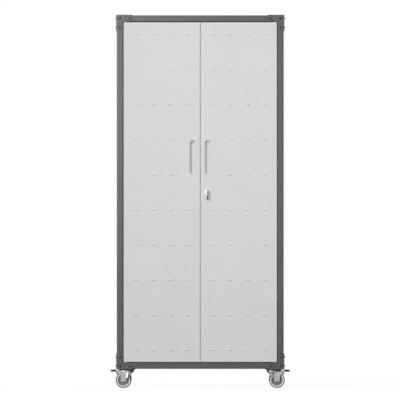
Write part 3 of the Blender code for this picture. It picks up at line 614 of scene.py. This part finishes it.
# %% bolts at every bracket
ALONG_TUBE = 0.0152
ALONG_RAIL = 0.0625
ALONG_POST = 0.057


def joined(pieces):
    start_fresh()
    for piece in pieces:
        piece.select_set(True)
    bpy.context.view_layer.objects.active = pieces[0]
    bpy.ops.object.join()
    return pieces[0]


outer = -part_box("bracket_top_front_left")[0]
spots = ((ALONG_TUBE, ALONG_TUBE), (ALONG_RAIL, ALONG_TUBE), (ALONG_TUBE, ALONG_POST))
for level, upward, edge in (("bottom", 1, frame_bottom), ("top", -1, frame_top)):
    for corner in corners:
        x_way, y_way = outward(corner)
        heads = []
        for across, up in spots:
            z = edge + upward * up
            on_face = (x_way * (half_width - across), y_way * outer.y, z)
            heads.append(copied(bolt, on_face, (-y_way * math.pi / 2, 0, 0)))
            on_side = (x_way * outer.x, y_way * (half_depth - across), z)
            heads.append(copied(bolt, on_side, (0, x_way * math.pi / 2, 0)))
        dress(joined(heads), f"bolts_{level}_{corner}", dark_zinc_and_shade, "cabinet")
bpy.data.objects.remove(bolt)
print("bolt heads at each bracket:", len(heads))

# %% [markdown]
# ## Shelves
# A shelf is one sheet whose four edges are folded down in a press brake, which leaves them round. The
# solid has sharp folds, so a copy of each gets round ones.

# %% shelves
for number in range(1, 5):
    shelf = rounded(merged(f"shelf_{number}"), width=0.0006)
    dress(shelf, f"tray_{number}", body_paint, "cabinet")
    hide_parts(f"shelf_{number}")
print("shelf faces:", len(shelf.data.polygons))

# %% [markdown]
# ## Pressed dashes
# Rows of short dashes are pressed out of the doors to stiffen them. In the press the sheet flows into the
# dash without an edge. A sphere is squeezed to a lens, its back half is cut away, and its rim is drawn out
# to a thin skirt, so that the dash runs into the door.

# %% one dash
DASH_HALF = (0.01315, 0.003, 0.0041)
SKIRT_START = -0.0003
SKIRT_DEPTH = 0.00027
SKIRT_SPREAD = (1.07, 1, 1.22)
start_fresh()
bpy.ops.mesh.primitive_uv_sphere_add(segments=20, ring_count=10, radius=1)
dash = bpy.context.object
dash.scale = DASH_HALF
settle(dash)
edit_all()
bpy.ops.mesh.bisect(plane_co=(0, SKIRT_START, 0), plane_no=(0, 1, 0), clear_outer=True)
bpy.ops.mesh.select_all(action="DESELECT")
bpy.ops.mesh.select_mode(type="EDGE")
bpy.ops.mesh.select_non_manifold()
bpy.ops.mesh.extrude_region_move(TRANSFORM_OT_translate={"value": (0, SKIRT_DEPTH, 0)})
bpy.ops.transform.resize(value=SKIRT_SPREAD)
bpy.ops.mesh.edge_face_add()
face_outward()
done_editing()
smooth(dash, 60)
print("dash faces:", len(dash.data.polygons))

# %% dashes on both doors
TIP_HEIGHT = 0.00215
for side in ("left", "right"):
    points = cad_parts[f"door_{side}"].data.vertices
    tips = {(round(p.co.x, 4), round(p.co.z, 4)) for p in points if p.co.y < door_front - TIP_HEIGHT}
    row = [copied(dash, (x, door_front, z)) for x, z in sorted(tips)]
    print("dashes on the", side, "door:", len(row))
    dress(joined(row), f"dashes_{side}", body_paint, f"door_{side}")
bpy.data.objects.remove(dash)

# %% [markdown]
# ## Recessed pulls
# Behind each slot in the door sits a drawn cup, and the slot's cut edge is rolled over so that it does not
# hurt the hand. The cup's copy gets soft edges. The rolled edge follows the slot: a circle is pulled apart
# to the slot's outline, turned into a curve and given a round section. It leans out a little on its left.

# %% pulls
PULL_HALF = (0.015, 0.081)
EDGE_ROLL = 0.0006
ROLL_BEHIND_FACE = 0.0005
ROLL_TURN = (math.pi / 2, 0, math.radians(2.5))


def middle_of(node):
    low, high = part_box(node)
    return (low + high) / 2


def pick_points(piece, test):
    """Edit mode, with the points selected that pass the test."""
    make_active(piece)
    editing("VERT")
    bpy.ops.mesh.select_all(action="DESELECT")
    done_editing()
    for point in piece.data.vertices:
        point.select = test(point.co)
    editing("VERT")


def move_points(piece, test, move):
    pick_points(piece, test)
    bpy.ops.transform.translate(value=move)
    done_editing()


for side in ("left", "right"):
    bowl = rounded(merged(f"pull_cup_{side}"), width=0.0008)
    dress(bowl, f"pull_bowl_{side}", body_paint, f"door_{side}")
    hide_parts(f"pull_cup_{side}")
    start_fresh()
    bpy.ops.mesh.primitive_circle_add(vertices=72, radius=PULL_HALF[0], rotation=ROLL_TURN)
    lip = bpy.context.object
    settle(lip)
    for way in (-1, 1):
        apart = (0, 0, way * (PULL_HALF[1] - PULL_HALF[0]))
        move_points(lip, lambda point: point.z * way > 0, apart)
    make_active(lip)
    bpy.ops.object.convert(target="CURVE")
    lip.data.bevel_depth = EDGE_ROLL
    lip.data.bevel_resolution = 3
    bpy.ops.object.convert(target="MESH")
    middle = middle_of(f"pull_cup_{side}")
    placed(lip, (middle.x, door_front + ROLL_BEHIND_FACE, middle.z))
    smooth(lip, 60)
    dress(lip, f"pull_lip_{side}", body_paint, f"door_{side}")
print("pull slots", [round(v * 2000) for v in PULL_HALF], "mm, lip faces", len(lip.data.polygons))

# %% [markdown]
# ## Lock
# A chrome cylinder lock sits in the right door: a housing with a raised ring, and a plug that turns in it
# with the key's blade. Lock parts are turned on a lathe, so they are spun here. Behind the door a hex nut
# holds the housing, and a cam on the plug's end swings behind the other door when the key turns.

# %% lock housing
RING_RADIUS = 0.0115
RING_ROUND = 0.0016
BARREL_RADIUS = 0.0095
BORE_RADIUS = 0.0062
RING_DEPTH = 0.003
BARREL_DEPTH = 0.0213
lock_x, _, lock_z = middle_of("lock_housing")
lock_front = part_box("lock_housing")[0].y
profile = [(BORE_RADIUS, 0), (0.0094, 0)]
for angle in (90, 67.5, 45, 22.5, 0):
    turn = math.radians(angle)
    profile += [(0.0098 + RING_ROUND * math.cos(turn), RING_ROUND * (math.sin(turn) - 1))]
profile += [(RING_RADIUS, -0.0022), (RING_RADIUS, -RING_DEPTH), (BARREL_RADIUS, -RING_DEPTH)]
profile += [(BARREL_RADIUS, -BARREL_DEPTH), (BORE_RADIUS, -BARREL_DEPTH), (BORE_RADIUS, 0)]
housing = placed(turned(profile, 48), (lock_x, lock_front, lock_z), TO_FRONT)
smooth(housing)
dress(housing, "lock_ring", chrome_plate, "door_right")
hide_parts("lock_housing")
print("lock ring at", [round(v, 4) for v in (lock_x, lock_front, lock_z)])

# %% plug
PLUG_RADIUS = 0.0059
PLUG_SET_BACK = 0.0008
PLUG_DEPTH = 0.0208
TAIL_RADIUS = 0.0035
TAIL_DEPTH = 0.0232
profile = [(0, 0), (0.0053, 0), (PLUG_RADIUS, -0.0006), (PLUG_RADIUS, -PLUG_DEPTH)]
profile += [(TAIL_RADIUS, -PLUG_DEPTH), (TAIL_RADIUS, -TAIL_DEPTH), (0, -TAIL_DEPTH)]
plug = placed(turned(profile, 40), (lock_x, lock_front + PLUG_SET_BACK, lock_z), TO_FRONT)
smooth(plug)
dress(plug, "lock_plug_face", chrome_plate, "lock_plug")
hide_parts("lock_plug")
print("plug faces:", len(plug.data.polygons))

# %% key blade
BLADE_SHEET = 0.002
BLADE_HEIGHT = 0.008
BLADE_IN_PLUG = 0.004


def block(size, place):
    """A cuboid with its size and place in its mesh."""
    start_fresh()
    bpy.ops.mesh.primitive_cube_add(size=1, location=place)
    made = bpy.context.object
    made.scale = size
    settle(made)
    return made


def every_edge(a, b):
    return True


plug_low, plug_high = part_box("lock_plug")
blade_depth = lock_front + BLADE_IN_PLUG - plug_low.y
blade = block((BLADE_SHEET, blade_depth, BLADE_HEIGHT), (lock_x, plug_low.y + blade_depth / 2, lock_z))
bevel_edges(blade, every_edge, width=0.0004, segments=2)
smooth(blade)
dress(blade, "key_blade", steel, "lock_plug")
print("key blade stands out", round((lock_front - plug_low.y) * 1000, 1), "mm")

# %% nut behind the door
NUT_ACROSS = 0.026
NUT_DEPTH = 0.0038
NUT_BEHIND_FRONT = 0.0066
THREAD_RADIUS = 0.0097
start_fresh()
bpy.ops.mesh.primitive_cylinder_add(vertices=6, radius=NUT_ACROSS / math.sqrt(3), depth=NUT_DEPTH)
nut = bpy.context.object
bevel_edges(nut, every_edge, width=0.0005, segments=2)
bpy.ops.mesh.primitive_cylinder_add(vertices=40, radius=THREAD_RADIUS, depth=0.01)
cut_away(nut, bpy.context.object)
placed(nut, (lock_x, lock_front + NUT_BEHIND_FRONT, lock_z), TO_FRONT)
smooth(nut)
dress(nut, "lock_nut", steel, "door_right")
print("nut faces:", len(nut.data.polygons))

# %% cam and its screw
CAM_HEAD = 0.009
CAM_TIP = 0.007
CAM_SHEET = 0.002
start_fresh()
bpy.ops.mesh.primitive_circle_add(vertices=40, radius=CAM_HEAD, fill_type="NGON")
cam = bpy.context.object
pick_points(cam, lambda point: point.y < -NEAR)
bpy.ops.transform.resize(value=(CAM_TIP / CAM_HEAD, CAM_TIP / CAM_HEAD, 1), center_override=(0, 0, 0))
bpy.ops.transform.translate(value=(0, plug_low.z - lock_z + CAM_TIP, 0))
pick_all()
bpy.ops.mesh.extrude_region_move(TRANSFORM_OT_translate={"value": (0, 0, CAM_SHEET)})
face_outward()
done_editing()
rounded(cam, width=0.0004)
head = [(0, 0), (0.0046, 0), (0.0046, 0.0008), (0.0040, 0.0018), (0.0025, 0.0023), (0, 0.0024)]
screw = placed(turned(head, 24), (0, 0, 0), (math.pi, 0, 0))
smooth(screw)
cam = placed(joined([cam, screw]), (lock_x, plug_high.y, lock_z), TO_FRONT)
dress(cam, "lock_cam", steel, "lock_plug")
print("cam reaches down to", round(plug_low.z, 4))

# %% [markdown]
# ## Key bow
# The key's bow folds down on a pin, so that it hangs close to the door. It has a chrome neck with a slot
# for the blade, and a black moulded grip. Both start as cuboids: large bevels round their corners, and a
# Boolean cuts the slot.

# %% grip of the key
GRIP = (0.0042, 0.012, 0.021)
GRIP_CORNER = 0.004
bow_low, bow_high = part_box("key_bow")
pin_y = middle_of("key_bow").y
grip = block(GRIP, (lock_x, pin_y, bow_low.z + GRIP[2] / 2))
bevel_edges(grip, lambda a, b: abs(a.x - b.x) > GRIP[0] / 2, GRIP_CORNER, 6)
rounded(grip, width=0.0008, segments=3)
dress(grip, "key_bow_grip", black_plastic, "key_bow")
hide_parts("key_bow")
print("grip faces:", len(grip.data.polygons))

# %% neck and pin of the key
NECK = (0.0076, 0.008, 0.0205)
NECK_CORNER = 0.0016
SLOT = (0.0036, 0.02, 0.02)
SLOT_DEPTH = 0.01
KEY_PIN = 0.0014
PIN_LENGTH = NECK[0] - 0.0003
neck = block(NECK, (lock_x, pin_y, bow_high.z - NECK[2] / 2))
bevel_edges(neck, lambda a, b: abs(a.z - b.z) > NECK[2] / 2, NECK_CORNER, 4)
cut_away(neck, block(SLOT, (lock_x, pin_y, bow_high.z - SLOT_DEPTH + SLOT[2] / 2)))
rounded(neck, width=0.0002)
start_fresh()
bpy.ops.mesh.primitive_cylinder_add(vertices=24, radius=KEY_PIN, depth=PIN_LENGTH)
fold_pin = placed(bpy.context.object, (lock_x, pin_y, lock_z), (0, math.pi / 2, 0))
rounded(fold_pin, width=0.0002)
neck = joined([neck, fold_pin])
dress(neck, "key_bow_neck", chrome_plate, "key_bow")
print("neck faces:", len(neck.data.polygons))

# %% [markdown]
# ## Wheels
# Each wheel is a grey tyre on a pale rim with a taupe hub. All three are turned, from profiles that share
# their radii. They ride on the wheel's own body, so that they spin with it. Half of each profile is
# written, and the other half is its mirror image.

# %% wheel profiles
TYRE = 0.0375
TYRE_INNER = 0.032
RIM_INNER = 0.027
HALF = 0.012
WALL_HEIGHT = TYRE - TYRE_INNER
WALL_DEPTH = 0.0068
TREAD_START = 0.0349
TREAD_FADE = 0.0018


def both_sides(half_profile):
    """A closed profile from its upper half."""
    lower = [(radius, -height) for radius, height in reversed(half_profile)]
    return half_profile + lower + [half_profile[0]]


tyre_half = [(TYRE_INNER, HALF - 0.0012), (TYRE_INNER + 0.0004, HALF - 0.0003)]
for angle in (78, 64, 50, 36, 22, 9, 0):
    turn = math.radians(angle)
    tyre_half += [(TYRE_INNER + WALL_HEIGHT * math.cos(turn), HALF - WALL_DEPTH * (1 - math.sin(turn)))]
rim_half = [(RIM_INNER, HALF - 0.003), (RIM_INNER + 0.0012, HALF - 0.0012)]
rim_half += [(TYRE_INNER - 0.0008, HALF - 0.0009), (TYRE_INNER, HALF - 0.0016)]
hub_half = [(0.0042, 0.0137), (0.0090, 0.0137), (0.0095, 0.0132), (0.0098, 0.0098)]
hub_half += [(0.0110, 0.0086), (0.0225, 0.0082), (0.0245, 0.0094), (RIM_INNER, 0.0094)]
tyre, rim, hub = (turned(both_sides(half), 64) for half in (tyre_half, rim_half, hub_half))
for part in (tyre, rim, hub):
    smooth(part, 40)
# how near the tread a point is, which sets where the tyre's painted shade falls
tread_shade = tyre.data.attributes.new("tread", "FLOAT", "POINT")
for index, point in enumerate(tyre.data.vertices):
    radius = math.hypot(point.co.x, point.co.y)
    tread_shade.data[index].value = min(1, max(0, (radius - TREAD_START) / TREAD_FADE))
print("wheel faces:", [len(part.data.polygons) for part in (tyre, rim, hub)])

# %% wheels in their forks
for corner in corners:
    middle = middle_of(f"caster_wheel_{corner}")
    body = f"wheel_{corner}"
    made = dress(copied(tyre, middle, TO_FRONT), f"tyre_{corner}", tyre_rubber, body)
    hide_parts(f"caster_wheel_{corner}")
    dress(copied(rim, middle, TO_FRONT), f"rim_{corner}", rim_plastic, body)
    dress(copied(hub, middle, TO_FRONT), f"hub_{corner}", hub_plastic, body)
for part in (tyre, rim, hub):
    bpy.data.objects.remove(part)
print("wheel centre:", [round(v, 4) for v in middle])

# %% [markdown]
# ## Forks and plates
# Forks and plates are pressed from sheet, so their edges are slightly rounded. The solids already have
# their shapes: copies are merged and bevelled. The ends of the legs get rounder corners. The front forks'
# shoulder, which holds the pedal's pin, is drawn up to the plate and trimmed below by moving its points.

# %% forks
LEG_CORNER = 0.0062
LEG_ROUND = 0.0014
SHOULDER_BELOW_TOP = 0.0068
SHOULDER_HEIGHT = 0.015
SHOULDER_RISE = 0.0036
SMALLEST_EDGE = 0.00003


def raise_shoulder(fork, plate_top):
    upper = plate_top - SHOULDER_BELOW_TOP
    for level in (upper, upper - SHOULDER_HEIGHT):
        move_points(fork, lambda point: abs(level - point.z) < 2 * NEAR, (0, 0, SHOULDER_RISE))


def across_leg(leg_end):
    """A test for the edges that run through the sheet at the end of a leg."""
    return lambda a, b: max(a.z, b.z) < leg_end and (a - b).length - abs(a.y - b.y) < NEAR / 10


for corner in corners:
    fork = merged(f"caster_fork_{corner}")
    if "front" in corner:
        raise_shoulder(fork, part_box(f"caster_plate_{corner}")[1].z)
    bevel_edges(fork, across_leg(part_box(f"caster_fork_{corner}")[0].z + LEG_CORNER), LEG_ROUND, 3)
    cleaned(fork, SMALLEST_EDGE)
    rounded(fork, CUT_EDGE)
    dress(fork, f"fork_{corner}", zinc_plate, f"caster_{corner}")
    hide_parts(f"caster_fork_{corner}")
print("fork faces:", len(fork.data.polygons))

# %% plates
for corner in corners:
    plate = rounded(merged(f"caster_plate_{corner}"), CUT_EDGE)
    # the plate's near-black zinc is partly painted shade under the cabinet
    dress(plate, f"plate_{corner}", dark_zinc_and_shade, "cabinet")
    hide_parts(f"caster_plate_{corner}")
print("plate faces:", len(plate.data.polygons))

# %% [markdown]
# ## Brake pedals
# A pedal is moulded in one thick piece, and its pad is nearly level, so that a shoe does not slip off. The
# solid's pad is thinner and slopes. The points under its middle are moved down, and then each station
# along the pad is lifted by how far out it is.

# %% pedals
PAD_START = 0.05434
PAD_SHEET = 0.0065
PAD_SLOPE = math.tan(math.radians(13))
PAD_LIFT = 0.16
PAD_EXTRA = 0.0026


def shape_pad(pedal, top, axis_x):
    """Thickens the foot pad downwards and lifts its tip, by the distance from the swivel axis."""

    def below_middle(point):
        out = abs(point.x - axis_x) - PAD_START
        return out > -NEAR and point.z < top - PAD_SHEET / 2 - out * PAD_SLOPE

    move_points(pedal, below_middle, (0, 0, -PAD_EXTRA))
    reaches = {round(abs(point.co.x - axis_x), 4) for point in pedal.data.vertices}
    for reach in sorted(reaches):
        if reach > PAD_START + 10 * NEAR:
            lift = (0, 0, (reach - PAD_START) * PAD_LIFT)
            move_points(pedal, lambda point: abs(abs(point.x - axis_x) - reach) < NEAR, lift)


for side in ("left", "right"):
    node = f"brake_pedal_front_{side}"
    pedal = merged(node)
    shape_pad(pedal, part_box(node)[1].z, middle_of(f"caster_plate_front_{side}").x)
    rounded(pedal, width=0.0009, segments=3)
    dress(pedal, f"pedal_front_{side}", black_plastic, f"pedal_front_{side}")
    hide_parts(node)
print("pedal faces:", len(pedal.data.polygons))

# %% [markdown]
# ## Axles and hinge pins
# Both are plain turned steel, but the solids have few sides. They are turned again with more steps. A
# hinge pin has a collar that the door rests on, so the lower pins are turned over.

# %% axles
AXLE_RADIUS = 0.0039
HEAD_RADIUS = 0.006
HEAD_START = 0.016
head = [(0, 0.017), (0.0016, 0.017), (0.0021, 0.0173), (0.005, 0.0173), (0.0057, 0.017)]
head += [(HEAD_RADIUS, 0.0164), (HEAD_RADIUS, HEAD_START), (AXLE_RADIUS, HEAD_START)]
axle = turned(head + [(radius, -height) for radius, height in reversed(head)], 40)
smooth(axle)
for corner in corners:
    made = copied(axle, middle_of(f"caster_axle_{corner}"), TO_FRONT)
    dress(made, f"axle_{corner}", steel, f"caster_{corner}")
    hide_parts(f"caster_axle_{corner}")
bpy.data.objects.remove(axle)
print("axle faces:", len(made.data.polygons))

# %% hinge pins
PIN_RADIUS = 0.0039
PIN_TIP = 0.0034
PIN_CHAMFER = 0.0005
COLLAR = 0.0069
COLLAR_EDGE = 0.0064
low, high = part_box("hinge_pin_top_left")
half = (high.z - low.z) / 2
profile = [(0, half), (PIN_TIP, half), (PIN_RADIUS, half - PIN_CHAMFER), (PIN_RADIUS, 0.0016)]
profile += [(COLLAR_EDGE, 0.0016), (COLLAR, 0.0011), (COLLAR, -0.0003), (COLLAR_EDGE, -0.0007)]
profile += [(PIN_RADIUS, -0.0007), (PIN_RADIUS, PIN_CHAMFER - half), (PIN_TIP, -half), (0, -half)]
pin = turned(profile, 40)
smooth(pin)
for side in ("left", "right"):
    for level, turn in (("bottom", math.pi), ("top", 0)):
        made = copied(pin, middle_of(f"hinge_pin_{level}_{side}"), (turn, 0, 0))
        dress(made, f"pin_{level}_{side}", steel, "cabinet")
        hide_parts(f"hinge_pin_{level}_{side}")
bpy.data.objects.remove(pin)
print("hinge pin half length", round(half * 1000, 2), "mm")

# %% [markdown]
# ## Swivel heads
# Between the plate and the fork runs a ball race: a ring under the plate over a dome on the fork, with a
# collar on the fork that shields the race on the wheel's side. All three are turned, and the collar is cut
# open with a bisect. Flush screws hold the plate.

# %% screws under the plates
PLATE_SHEET = 0.0025
SCREW_REACH = 0.0295
SCREW_HEIGHT = 0.0004


def swivel_place(corner):
    """Where the swivel axis meets the underside of a caster's plate."""
    middle = middle_of(f"caster_plate_{corner}")
    return Vector((middle.x, middle.y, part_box(f"caster_plate_{corner}")[1].z - PLATE_SHEET))


screw = turned([(0, 0), (0.0055, 0), (0.0052, 0.0003), (0, SCREW_HEIGHT)], 24)
socketed(screw, SCREW_HEIGHT, depth=0.0006)
for corner in corners:
    heads = []
    for x in (-SCREW_REACH, SCREW_REACH):
        for y in (-SCREW_REACH, SCREW_REACH):
            heads.append(copied(screw, swivel_place(corner) + Vector((x, y, 0)), (math.pi, 0, 0)))
    dress(joined(heads), f"plate_screws_{corner}", dark_zinc_and_shade, "cabinet")
bpy.data.objects.remove(screw)
print("plate screws at", SCREW_REACH, "m from the axis")

# %% race, dome and collar
RACE = 0.0342
DOME = 0.0298
RING_INNER = 0.02
COLLAR_INNER = RACE + 0.0004
COLLAR_OUTER = RACE + 0.0016
COLLAR_TOP = -0.0008
COLLAR_BOTTOM = -0.0078
COLLAR_CUT = -0.022
DOME_DROP = 0.0037


def towards_wheel(corner):
    """A turn about the swivel axis, for parts that are made for the right side."""
    return (0, 0, 0 if "right" in corner else math.pi)


race_ring = turned([(RING_INNER, 0), (RACE, 0), (RACE, -0.0015), (RACE - 0.0008, -0.0024),
                    (RACE - 0.0026, -0.0033), (RING_INNER, -0.0033), (RING_INNER, 0)], 48)
dome_ring = turned([(RING_INNER, 0), (DOME, 0), (DOME, -0.0006), (DOME - 0.0034, -0.0038),
                    (DOME - 0.0036, -0.0048), (RING_INNER, -0.0048), (RING_INNER, 0)], 48)
collar = turned([(COLLAR_INNER, COLLAR_TOP), (COLLAR_OUTER, COLLAR_TOP), (COLLAR_OUTER, COLLAR_BOTTOM),
                 (COLLAR_INNER, COLLAR_BOTTOM), (COLLAR_INNER, COLLAR_TOP)], 64)
edit_all()
bpy.ops.mesh.bisect(plane_co=(COLLAR_CUT, 0, 0), plane_no=(-1, 0, 0), clear_outer=True, use_fill=True)
face_outward()
done_editing()
rounded(collar, width=0.0002)
for part in (race_ring, dome_ring):
    smooth(part)
for corner in corners:
    under = swivel_place(corner)
    # race and dome get near-black zinc, partly painted shade under the plate
    dress(copied(race_ring, under), f"race_{corner}", dark_zinc_and_shade, "cabinet")
    made = copied(dome_ring, under - Vector((0, 0, DOME_DROP)))
    dress(made, f"dome_{corner}", dark_zinc_and_shade, f"caster_{corner}")
    made = copied(collar, under, towards_wheel(corner))
    dress(made, f"collar_{corner}", steel, f"caster_{corner}")
for part in (race_ring, dome_ring, collar):
    bpy.data.objects.remove(part)
print("race radius", RACE, "dome radius", DOME)

# %% [markdown]
# ## Pressed bulges and caps
# Behind the wheel the fork's sheet is pressed out on both sides, which stiffens it and catches a bright
# band of light. A cylinder is squeezed, its lower end is drawn in towards the wheel, its inner half is cut
# away, and a Mirror modifier gives the other side. The front forks also have two ribs below the pedal's
# pin and a black cap, which start as cuboids.

# %% one bulge and one cap
BULGE_HALF = (0.0133, 0.0098)
BULGE_HEIGHT = 0.0345
BULGE_FACE = 0.0155
BULGE_CUT = 0.0008
LOWER_END = (0.36, 0.78, 1)
CAP = (0.0165, 0.016, 0.0105)
CAP_SLANT = 0.0115
start_fresh()
bpy.ops.mesh.primitive_cylinder_add(vertices=48, radius=1, depth=1)
bulge = bpy.context.object
bulge.scale = (*BULGE_HALF, BULGE_HEIGHT)
settle(bulge)
pick_points(bulge, lambda point: point.z < 0)
bpy.ops.transform.resize(value=LOWER_END, center_override=(BULGE_HALF[0], 0, 0))
pick_all()
bpy.ops.mesh.bisect(plane_co=(0, BULGE_CUT, 0), plane_no=(0, 1, 0), clear_outer=True, use_fill=True)
pick_all()
bpy.ops.transform.translate(value=(0, -BULGE_FACE, 0))
done_editing()
pair = bulge.modifiers.new("both sides", "MIRROR")
pair.use_axis = (False, True, False)
apply_modifiers(bulge)
rounded(bulge, width=0.0012, segments=3)
cap = block(CAP, (0, 0, 0))
move_points(cap, lambda point: point.z < 0 and point.x < 0, (CAP_SLANT, 0, 0))
rounded(cap, width=0.0008, segments=3)
print("bulge faces:", len(bulge.data.polygons), "cap faces:", len(cap.data.polygons))

# %% bulges and caps on the forks
BULGE_BACK = 0.0108
BULGE_BELOW_DOME = 0.0007
RIB = (0.0128, 0.0018, 0.0044)
RIB_OUT = 0.0302
RIB_ASIDE = 0.015
RIB_BELOW_DOME = 0.0023
CAP_BACK = 0.0287
CAP_BELOW_DOME = 0.0056
for corner in corners:
    out, _ = outward(corner)
    x, y, z = swivel_place(corner) - Vector((0, 0, DOME_DROP))
    level = z - BULGE_BELOW_DOME - BULGE_HEIGHT / 2
    pressed = [copied(bulge, (x - out * BULGE_BACK, y, level), towards_wheel(corner))]
    if "front" in corner:
        for aside in (-RIB_ASIDE, RIB_ASIDE):
            rib = block(RIB, (x + out * RIB_OUT, y + aside, z - RIB_BELOW_DOME))
            pressed.append(rounded(rib, width=0.0003))
        made = copied(cap, (x - out * CAP_BACK, y, z - CAP_BELOW_DOME), towards_wheel(corner))
        dress(made, f"cap_{corner}", black_plastic, f"caster_{corner}")
    dress(joined(pressed), f"bulge_{corner}", zinc_plate, f"caster_{corner}")
for part in (bulge, cap):
    bpy.data.objects.remove(part)
print("shapes on the last fork:", len(pressed))

# %% [markdown]
# ## Floor and surroundings
# The photograph has a white ground. Most of the floor's white is its own light, which only the camera sees
# in full, and the rest is the light that falls on it, so that the shadow under the wheels stays.
# Reflections see a darker floor, so the zinc keeps its dark tones. The world is white to the camera and
# in reflections, but lights the cabinet only softly.


# %% floor
def seen_directly(tree, in_reflections):
    """1 for a ray from the camera or through a clear surface, and a share of it for a reflection."""
    path = tree.nodes.new("ShaderNodeLightPath")
    names = ("Is Camera Ray", "Is Glossy Ray", "Is Transmission Ray")
    direct, mirrored, clear = (Wire(tree, path.outputs[name]) for name in names)
    return direct.larger(mirrored * in_reflections).larger(clear)


start_fresh()
bpy.ops.mesh.primitive_plane_add(size=7, location=(0, 0, 0))
floor = bpy.context.object
floor.name = "floor"
ground = bpy.data.materials.new("floor")
ground.use_nodes = True
tree = ground.node_tree
tree.nodes.remove(tree.nodes["Principled BSDF"])
seen = seen_directly(tree, in_reflections=0.35)
pale = seen.node("ShaderNodeBsdfDiffuse", {}, {"Color": grey(100)})
shaded = seen.node("ShaderNodeBsdfDiffuse", {}, {"Color": grey(96)})
glow = seen.node("ShaderNodeEmission", {}, {"Color": (1, 1, 1, 1), "Strength": 0.91})
white = seen.node("ShaderNodeAddShader", {}, {0: shaded, 1: glow})
mixed = seen.node("ShaderNodeMixShader", {}, {0: seen, 1: pale, 2: white})
tree.links.new(mixed.socket, tree.nodes["Material Output"].inputs["Surface"])
floor.data.materials.append(ground)
print("floor", [round(v, 2) for v in floor.dimensions])

# %% world
AMBIENT = 0.32
world = bpy.data.worlds.new("studio")
scene.world = world
world.use_nodes = True
tree = world.node_tree
strength = seen_directly(tree, in_reflections=1) * (1 - AMBIENT) + AMBIENT
tree.links.new(strength.socket, tree.nodes["Background"].inputs["Strength"])
tree.nodes["Background"].inputs["Color"].default_value = (1, 1, 1, 1)
print("light from all round:", AMBIENT)

# %% [markdown]
# ## Lamps and cards
# A sun high on the left is the key light: it draws the shadows in the pulls and under the dashes. A soft
# lamp in front fills, and one behind lights the rear. The sheen, the rim light and the low strip are seen
# only in reflections and draw bright edges on paint and zinc. Bright metal also needs something to
# reflect: a large black card stands on the right, and a black and a white strip hang before the lock.


# %% lamps
def lamp(name, kind, place, aim, power):
    data = bpy.data.lights.new(name, kind)
    data.energy = power
    made = bpy.data.objects.new(name, data)
    scene.collection.objects.link(made)
    made.location = place
    made.rotation_euler = (Vector(aim) - Vector(place)).to_track_quat("-Z", "Y").to_euler()
    return made


key = lamp("key", "SUN", (-3.0, -3.4, 2.7), (0, -0.2, 1.0), power=1.75)
key.data.angle = math.radians(7)
soft_lamps = (  # name, place, aim, power, size, and what is switched off
    ("front", (0.15, -3.7, 1.7), (0, -0.2, 0.9), 50, 1.6, "visible_glossy"),
    ("sheen", (-0.9, -2.2, 1.6), (-0.3, -0.2, 1.2), 20, 0.9, "visible_diffuse"),
    ("back", (1.6, 4.4, 2.4), (0, 0.2, 0.9), 75, 3.2, "visible_glossy"),
    ("rim", (-2.2, -1.6, 0.8), (0, -0.2, 0.7), 22, 1.6, "visible_diffuse"),
    ("strip", (-2.0, -0.9, 0.35), (0, -0.2, 0.1), 9, 0.8, "visible_diffuse"),
)
for name, place, aim, power, size, switched_off in soft_lamps:
    made = lamp(name, "AREA", place, aim, power)
    made.data.size = size
    setattr(made, switched_off, False)

# %% cards that only reflections see
CARD_AWAY = 0.06


def card_finish(name, tone, glow):
    material = bpy.data.materials.new(name)
    material.use_nodes = True
    surface = material.node_tree.nodes["Principled BSDF"]
    surface.inputs["Base Color"].default_value = tone
    surface.inputs["Roughness"].default_value = 0.9
    surface.inputs["Emission Color"].default_value = (1, 1, 1, 1)
    surface.inputs["Emission Strength"].default_value = glow
    return material


def card(name, finish, place, turn, width, height):
    start_fresh()
    bpy.ops.mesh.primitive_plane_add(size=1, location=place, rotation=turn)
    made = bpy.context.object
    made.name = name
    made.scale = (width, height, 1)
    settle(made)
    for ray in ("camera", "diffuse", "shadow"):
        setattr(made, f"visible_{ray}", False)
    made.data.materials.append(finish)


black_card = card_finish("black_card", grey(24), glow=0)
white_card = card_finish("white_card", grey(230), glow=2.5)
card("flag", black_card, (1.7, -1.4, 0.9), (0, -math.pi / 2, 0), width=2.4, height=2.4)
card_y = lock_front - CARD_AWAY
dark_place = (lock_x + 0.0024, card_y, lock_z)
white_place = (lock_x - 0.0042, card_y, lock_z + 0.003)
card("dark_strip", black_card, dark_place, TO_FRONT, width=0.0086, height=0.022)
card("white_strip", white_card, white_place, TO_FRONT, width=0.0045, height=0.015)
scene.view_settings.view_transform = "Standard"
print("cards:", black_card.users + white_card.users)

# %% [markdown]
